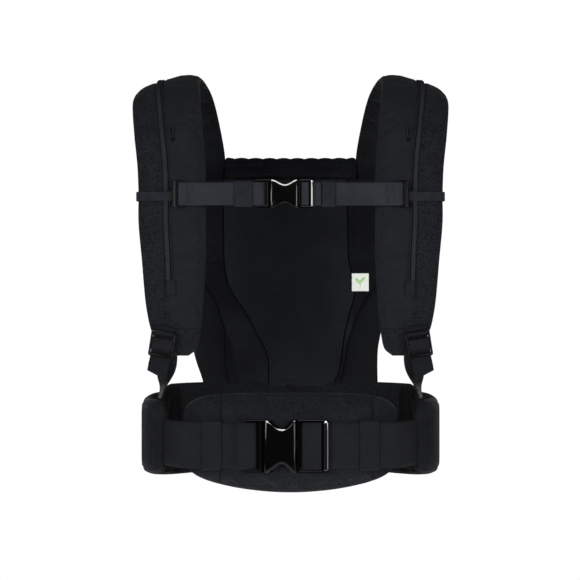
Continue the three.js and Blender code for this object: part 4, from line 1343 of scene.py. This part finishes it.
def build_socket(name, b, body):
    half, depth, edge = b["height"] / 2, b["body_half"], b["edge"]
    wall = 2 * edge + 0.3
    web = b["web"] / 2 + 0.7
    middle_x = (b["body_left"] + b["body_right"]) / 2

    def domed(points):
        x, y, z = points.T
        rise = (1 - (z / half) ** 2) * (1 - ((x - middle_x) / 26) ** 2)
        return np.sign(y) * 0.5 * np.clip(rise, 0, 1) * (np.abs(y) > depth - edge * 0.9)

    cover = waisted_outline(b, b["body_left"] - 0.5, half)
    front = plate(cover, [], -depth, -depth + wall, edge, dome=domed)
    back = plate(cover, [], depth - wall, depth, edge, dome=domed)
    # The webbing's bar and its slot, the frame's shoulder and its two rails.
    frame_half, frame_right = depth - 1.9, b["body_left"] + 4
    bar = rounded_rect(b["bar_left"], frame_right, -half + 0.4, half - 0.4, 2.5)
    slot = rounded_rect(b["slot_left"], b["slot_right"], -web, web, 1.2)
    parts = [front, back, plate(bar, [slot], -b["bar_half"], b["bar_half"], 0.7),
             block(b["slot_right"], frame_right, -half + 0.6, half - 0.6, 0.9, frame_half, 0.8)]
    for z0, z1 in ((-half + 0.4, -web + 0.2), (web - 0.2, half - 0.4)):
        parts.append(block(b["bar_left"], frame_right, z0, z1, 0.8, frame_half, 0.7))
    # Posts hold the front and back apart on both sides of the thumb grips.
    grip = b["waist_x"]
    for side in (-1, 1):
        low, high = sorted((side * (half - 2.4), side * (half - 0.5)))
        for x0, x1 in ((b["body_left"], grip - 10), (grip + 10.5, b["body_right"] - 0.3)):
            if x1 - x0 > 1:
                parts.append(block(x0, x1, low, high, 0.6, depth - wall + 0.6, 0.3))
    # The bars, rails and posts take the duller copy of the plastic: painted shade.
    looks = ["gloss"] * 2 + ["shaded_gloss"] * (len(parts) - 2)
    moulded(f"{name}_socket", parts, looks, body, f"{name}_female", place=lambda p: p + (0, b["y"], b["z"]))


def build_male_frame(name, b, body):
    half, web = b["height"] / 2, b["web"] / 2 + 0.7
    left = b["body_right"] + 0.5
    (bar_left, bar_right), end = b["bar"], b["frame_right"] - b["end_bar"]
    depth = b["frame_half"]
    thin = b["body_half"] - PRONG_INSET
    outline = rounded_rect(left, b["frame_right"], -half, half, 3.2)
    hole = rounded_rect(left + 2.5, end, -web, web, 1.4)
    rim = plate(outline, [hole], -depth, depth, min(1.2, depth * 0.45))
    bar = block(bar_left, bar_right, -web - 1, web + 1, 0.8, b["bar_half"], 0.7)
    tongue = block(b["tip"] + 1.5, left + 1, -half * 0.2, half * 0.2, 1.5, thin, 0.8)
    round_end = (b["end_bar"] - 0.4) / 2
    end_outline = rounded_rect(end + 0.4, b["frame_right"], 1.2 - half, half - 1.2, round_end - 0.05)
    end_bar = plate(end_outline, [], -depth - 0.5, depth, min(1.8, round_end - 0.1))

    def bowed(points):
        """The end bar bows outwards in the middle."""
        share = smoothstep(points[:, 0], end - 1, b["frame_right"])
        middle = 1 - (points[:, 2] / half) ** 2
        points[:, 0] += 1.1 * share * middle
        return points + (0, b["y"], b["z"])

    # The end bar takes the strongly reflecting copy, a painted highlight; the rim, bar and tongue take the
    # duller copy, painted shade.
    looks = ["shaded_gloss"] * 3 + ["bright_gloss"]
    moulded(f"{name}_frame", [rim, bar, tongue, end_bar], looks, body, f"{name}_male", place=bowed)


def prong_outline(b):
    half = b["height"] / 2
    root, grip = b["body_right"] - 0.4, half - b["waist_depth"] - 0.5
    x, tip = b["waist_x"], b["tip"]
    upper = smooth_path([(root, 0, half * 0.58), (x + 6, 0, grip + 1), (x, 0, grip), (x - 4, 0, grip + 1.5),
                         (tip + 1, 0, half * 0.78)], 24)
    lower = smooth_path([(tip, 0, half * 0.5), (x, 0, grip - 4), (root, 0, half * 0.4)], 14)
    line = [(p[0], p[2]) for p in upper] + [(tip, half * 0.74)] + [(p[0], p[2]) for p in lower]
    return line[::-1]


def build_buckle(name, b, socket_body, frame_body):
    build_socket(name, b, socket_body)
    build_male_frame(name, b, frame_body)
    thin = b["body_half"] - PRONG_INSET
    prong = plate(prong_outline(b), [], -thin, thin, 0.55)
    short = name.split("_")[0]
    for which, up in (("upper", 1), ("lower", -1)):
        moulded(f"{name}_spring_{which}", [prong], ["gloss"], f"{short}_prong_{which}",
                f"{name}_prong_{which}", place=lambda p, up=up: p * (1, 1, up) + (0, b["y"], b["z"]))
    offset = b["bar_half"] + GAP + b["web_thick"] / 2
    bar_left, bar_right = b["bar"]
    turn = half_turn(bar_left + 0.6, 0, 0, offset, -1, -1)
    path = np.vstack([[(b["frame_right"] - b["end_bar"] - 1.5, -offset, 0), (bar_right, -offset, 0)], turn,
                      [(b["loop_end"], offset, 0)]]) + (0, b["y"], b["z"])
    web_piece(f"{name}_bar_web", path, UP, b["web"], b["web_thick"], b["web_look"], frame_body,
              [f"{name}_bar_loop"], spacing=0.8)


def female_wrap(b):
    offset = b["bar_half"] + GAP + b["web_thick"] / 2
    turn = half_turn(b["slot_left"] - 0.6, b["y"], b["z"], offset, 1, -1)
    # The fold is slack, so it bulges into the slot.
    turn[:, 0] += 0.9 * (turn[:, 0] - turn[0, 0])
    return np.vstack([turn, [(b["bar_left"] - 12, b["y"] + offset, b["z"])]])


# ---------- elastic and webbing loops ----------
def sleeve_piece(name, place, length, inner, high, look, body, slope=0.0):
    """A flat loop, `inner` deep, sewn round webbing that runs along X. It hides the CAD part named `name`."""
    half_y, half_z = inner / 2 + KEEPER_WALL / 2, high / 2 + KEEPER_WALL / 2
    loop = rounded_rect(-half_y, half_y, -half_z, half_z, min(2.0, half_y * 0.8))
    path = np.array([(0, y, z) for y, z in loop] + [(0, *loop[0])])
    across = np.array((math.cos(slope), math.sin(slope), 0))
    shape = ribbon(path + place, across, length, KEEPER_WALL, spacing=0.9, looped=True, selvedge=0.08)
    ring_piece(f"{name}_loop", shape, [look], body, [name], looped=True)


# ---------- chest strap ----------
def build_bands():
    x0, x1 = STRAP_STATIONS[6][:2]
    outline = [
        (x0 - 1.9, -86), (x0 + 0.5, -94.5), (x0 + 12, -98.7), (x1 - 12, -98.7), (x1 - 0.5, -94.5),
        (x1 + 1.9, -86), (x1 + 1.2, -82.2), (x1 - 3, -80.8), (x0 + 3, -80.8), (x0 - 1.2, -82.2),
    ]
    count = len(outline)
    line = [(x, y, BAND["z"]) for x, y in outline]
    wrapped = line[-3:] + line + line[:4]
    shares = (3 + np.linspace(0, count, 161)) / (len(wrapped) - 1)
    path = curve_at(wrapped, shares)
    shape = ribbon(path, UP, BAND["height"], BAND["thick"], looped=True, selvedge=0.1)
    for name, flip in SIDES:
        ring_piece(f"height_band_{name}", shape, ["elastic"], "chest_strap",
                   [f"strap_band_{name}"], looped=True, flip=flip)


def build_sliders():
    x, y, thick = SLIDER["x"], SLIDER["y"], SLIDER["thick"]
    low, high = CHEST_Z - SLIDER["height"] / 2, CHEST_Z + SLIDER["height"] / 2
    left, right = x - SLIDER["width"] / 2, x + SLIDER["width"] / 2
    outline = rounded_rect(left, right, low, high, 2.4)
    slot = rounded_rect(left + 2.6, left + 6.2, low + 2.3, high - 2.3, 1)
    foot = rounded_rect(right - 2.6, right, BAND["z"] - 5, BAND["z"] + 5, 0.8)
    plates = [plate(outline, [slot], y - thick / 2, y + thick / 2, 0.8), plate(foot, [], y, -100.6, 0.4)]
    for name, flip in SIDES:
        moulded(f"rail_slider_{name}", plates, ["satin"] * 2, "chest_strap", f"chest_slider_{name}",
                flip=flip)


def slider_wrap(side):
    radius = SLIDER["bar"] + GAP + CHEST_BUCKLE["web_thick"] / 2
    bar_edge = SLIDER["x"] - SLIDER["width"] / 2 + 2
    turn = half_turn(side * bar_edge, SLIDER["y"], CHEST_Z, radius, side, 1)
    return np.vstack([[(side * 98, SLIDER["y"] + radius, CHEST_Z)], turn])


def box_stitch(name, x0, x1, y, z, high):
    """A sewn box with a slanting line through it, on webbing that faces -Y."""
    corners = [(x0, z - high), (x1, z - high), (x1, z + high), (x0, z + high), (x0, z - high), (x1, z + high)]
    line = evenly([(x, y, up) for x, up in corners], 1.5)
    stitches(name, line, (0, -1, 0), "chest_strap", pitch=2.8, length=1.9, radius=0.26)


def build_chest_strap():
    b = CHEST_BUCKLE
    z = b["z"]
    back_y = b["y"] + b["frame_half"] + GAP + 1.1
    front = SLIDER["y"] - SLIDER["bar"] - GAP - b["web_thick"] / 2
    to_buckle = [(108, front, z), (90, back_y, z), (72, back_y, z), (b["body_right"] + 1.2, back_y, z)]
    right = np.vstack([slider_wrap(1), smooth_path(to_buckle)])
    web_piece("chest_web_right", right, UP, b["web"], b["web_thick"], b["web_look"], "chest_strap",
              ["chest_webbing_right"], spacing=1.2)
    wrap = female_wrap(b)
    to_bar = [(-108, front, z), (-85, b["y"], z), (-60, wrap[0][1] + 0.4, z), (-48, wrap[0][1], z)]
    left = np.vstack([slider_wrap(-1), smooth_path(to_bar), wrap])
    web_piece("chest_web_left", left, UP, b["web"], b["web_thick"], b["web_look"], "chest_strap",
              ["chest_webbing_left"], spacing=1.2)
    for side, name in ((1, "right"), (-1, "left")):
        x = sorted((side * 104, side * 112))
        box_stitch(f"chest_sewing_{name}", *x, front - b["web_thick"] / 2 - 0.25, z, 9.5)
    sleeve_piece("chest_keeper_left", (-51, b["y"] - 0.2, z), 20, 8, b["web"] + 1, "elastic", "chest_strap")
    sleeve_piece("chest_keeper_right", (41, back_y - 1, z), 14, 4.6, b["web"] + 1, "elastic", "chest_male")
    build_buckle("chest_buckle", b, "chest_strap", "chest_male")


# ---------- waist webbing and lumbar pad ----------
def beyond_flat(x):
    """How far x is beyond the lumbar pad's flat middle."""
    return np.maximum(0, np.abs(x) - PAD["flat"])


def run_y(x):
    """Where the waist webbing lies over the lumbar pad."""
    return PAD_WEBBING["y"] + PAD_WEBBING["slope"] * float(beyond_flat(x))


def build_waist_webbing():
    b = WAIST_BUCKLE
    tip_x, tip_y = BELT_PLAN[0]
    far = PAD_WEBBING["straight_to"]
    bend = [(far, run_y(far), 0), (116, -129.2, 0), (125, -117.5, 0), (tip_x - 1.2, tip_y - 1.7, 0),
            (tip_x + 4.5, tip_y + 6, 0)]
    to_tip = np.vstack([[(PAD["flat"], run_y(PAD["flat"]), 0)], smooth_path(bend)])
    right = np.vstack([[(b["body_right"] + 3, run_y(0), 0)], to_tip])
    web_piece("waist_web_right", right, UP, b["web"], b["web_thick"], b["web_look"], "carrier",
              ["waist_webbing_right"], wave=0.25, seed=4)
    wrap = female_wrap(b)
    rise = smooth_path([(-PAD["flat"] - 5, run_y(PAD["flat"] + 5), 0), (-61, run_y(0) - 1.2, 0),
                        (-54, wrap[0][1] + 1, 0), (-49, wrap[0][1], 0)], 30)
    left = np.vstack([mirrored(to_tip[1:])[::-1], rise, wrap])
    web_piece("waist_web_left", left, UP, b["web"], b["web_thick"], b["web_look"], "carrier",
              ["waist_webbing_left"], spacing=1.2)
    build_buckle("waist_buckle", b, "carrier", "waist_male")


def pad_frames(rows):
    x = PAD["half_length"] * np.sin(np.linspace(-1, 1, rows) * math.pi / 2 * 0.985)
    share = np.abs(x / PAD["reach"])
    top = PAD["top"] * (1 - share**5) ** (1 / 5)
    bottom = PAD["bottom"] * (1 - 0.4 * share**2) * (1 - share**14) ** (1 / 3)
    middle = (top - bottom) / 2
    base = np.stack([x, PAD["inner"] + PAD["wrap"] * beyond_flat(x) ** 2, middle], 1)
    return upright_frames(base, top + bottom, x) | {"middle": middle}


def build_lumbar_pad():
    def heights(f, shares):
        x = f["far"][:, None]
        to_end = beyond_flat(x) / (PAD["half_length"] - PAD["flat"])
        thick = PAD["thick"] - (PAD["thick"] - PAD["end_thick"]) * to_end**2
        edge = np.abs(shares)
        tip = np.clip(1 - np.abs(x / PAD["half_length"]) ** 12, 0, 1) ** 0.5
        top = PAD["rim"] + (thick - PAD["rim"]) * (1 - edge**4.5) ** 0.6 * tip
        low = 3.0 * (1 - (1 - edge**8) ** 0.5 * tip)
        return top, low

    def seams(f, shares):
        x = f["far"]
        held = (np.abs(shares) > 0.97)[None] | (np.abs(x) > PAD["half_length"] * 0.985)[:, None]
        sewn = np.zeros_like(held)
        for seam in PAD_SEAMS:
            sewn[np.argmin(np.abs(x - seam))] = True
        return held, sewn

    rings, uv, f, shares = stuffed(pad_frames, heights, seams, 2.4, (64, 21), (260, 71))
    count = len(shares)
    half = f["width"] / 2
    x = f["far"][:, None]
    side = half[:, None] * shares
    z = side + f["middle"][:, None]
    rim = np.minimum(half[:, None] - np.abs(side), 1.6 * (PAD["half_length"] - np.abs(x)) + 2)
    seam = sum(groove(x - at, 2.2, 1.6) for at in PAD_SEAMS) + 0 * z
    edge_seam = groove(rim - SEAM_INSET, 0.9, 1.1)
    # The webbing presses a shallow track into the pad.
    beside_buckle = smoothstep(np.abs(x), 30, 50)
    pressed = -1.3 * (1 - smoothstep(np.abs(z), 25, 31)) * beside_buckle
    crease = groove(np.abs(z) - 28.5, 0.6, 1.5) * beside_buckle
    sway = 0.35 * ripples(21, x, z, 30)
    pebbles = 0.1 * ripples(22, x, z, 4.5, count=9)
    raise_faces(rings, f, seam + edge_seam + pressed + crease + sway + pebbles)
    looks = np.zeros(rings.shape[:2], int)
    # Along the two seams the top face takes the darker twill: painted shade in the seams' grooves.
    looks[:, :count] = np.min([np.abs(x - at) for at in PAD_SEAMS], axis=0) < 0.55
    ring_piece("lumbar_cushion", (rings, uv), ["pad_knit", "cushion"], "lumbar_pad",
               ["lumbar_cover", "lumbar_foam", "lumbar_backing"], face_looks=looks)

    def sew(name, line):
        stitches(name, evenly(line, 2), (0, -1, 0), "lumbar_pad")

    for index, at in enumerate(PAD_SEAMS):
        row = np.argmin(np.abs(f["far"] - at))
        for lift, name in ((-2.6, "left"), (2.6, "right")):
            near = np.argmin(np.abs(f["far"] - at - lift))
            sew(f"lumbar_stitch_{index}_{name}", rings[near, :count][np.abs(side[near]) < half[row] - 8])
    rows = np.flatnonzero(np.abs(f["far"]) < 106)
    for name, share in (("bottom", -1), ("top", 1)):
        column = [int(np.argmin(np.abs(side[r] - share * (half[r] - SEAM_INSET)))) for r in rows]
        sew(f"lumbar_edge_stitch_{name}", rings[rows, column])
    slope = math.atan(PAD_WEBBING["slope"])
    for side, name in ((1, "right"), (-1, "left")):
        x = side * KEEPER["x"]
        sleeve_piece(f"lumbar_keeper_{name}", (x, run_y(x), 0), KEEPER["length"], KEEPER["inner"],
                     WAIST_BUCKLE["web"] + 1.4, "webbing", "lumbar_pad", side * slope)


make_camera()
make_studio()
make_floor()
make_looks()
build_belt()
build_panel()
build_neck_support()
build_straps()
build_rails()
build_adjusters()
build_bands()
build_sliders()
build_chest_strap()
build_waist_webbing()
build_lumbar_pad()
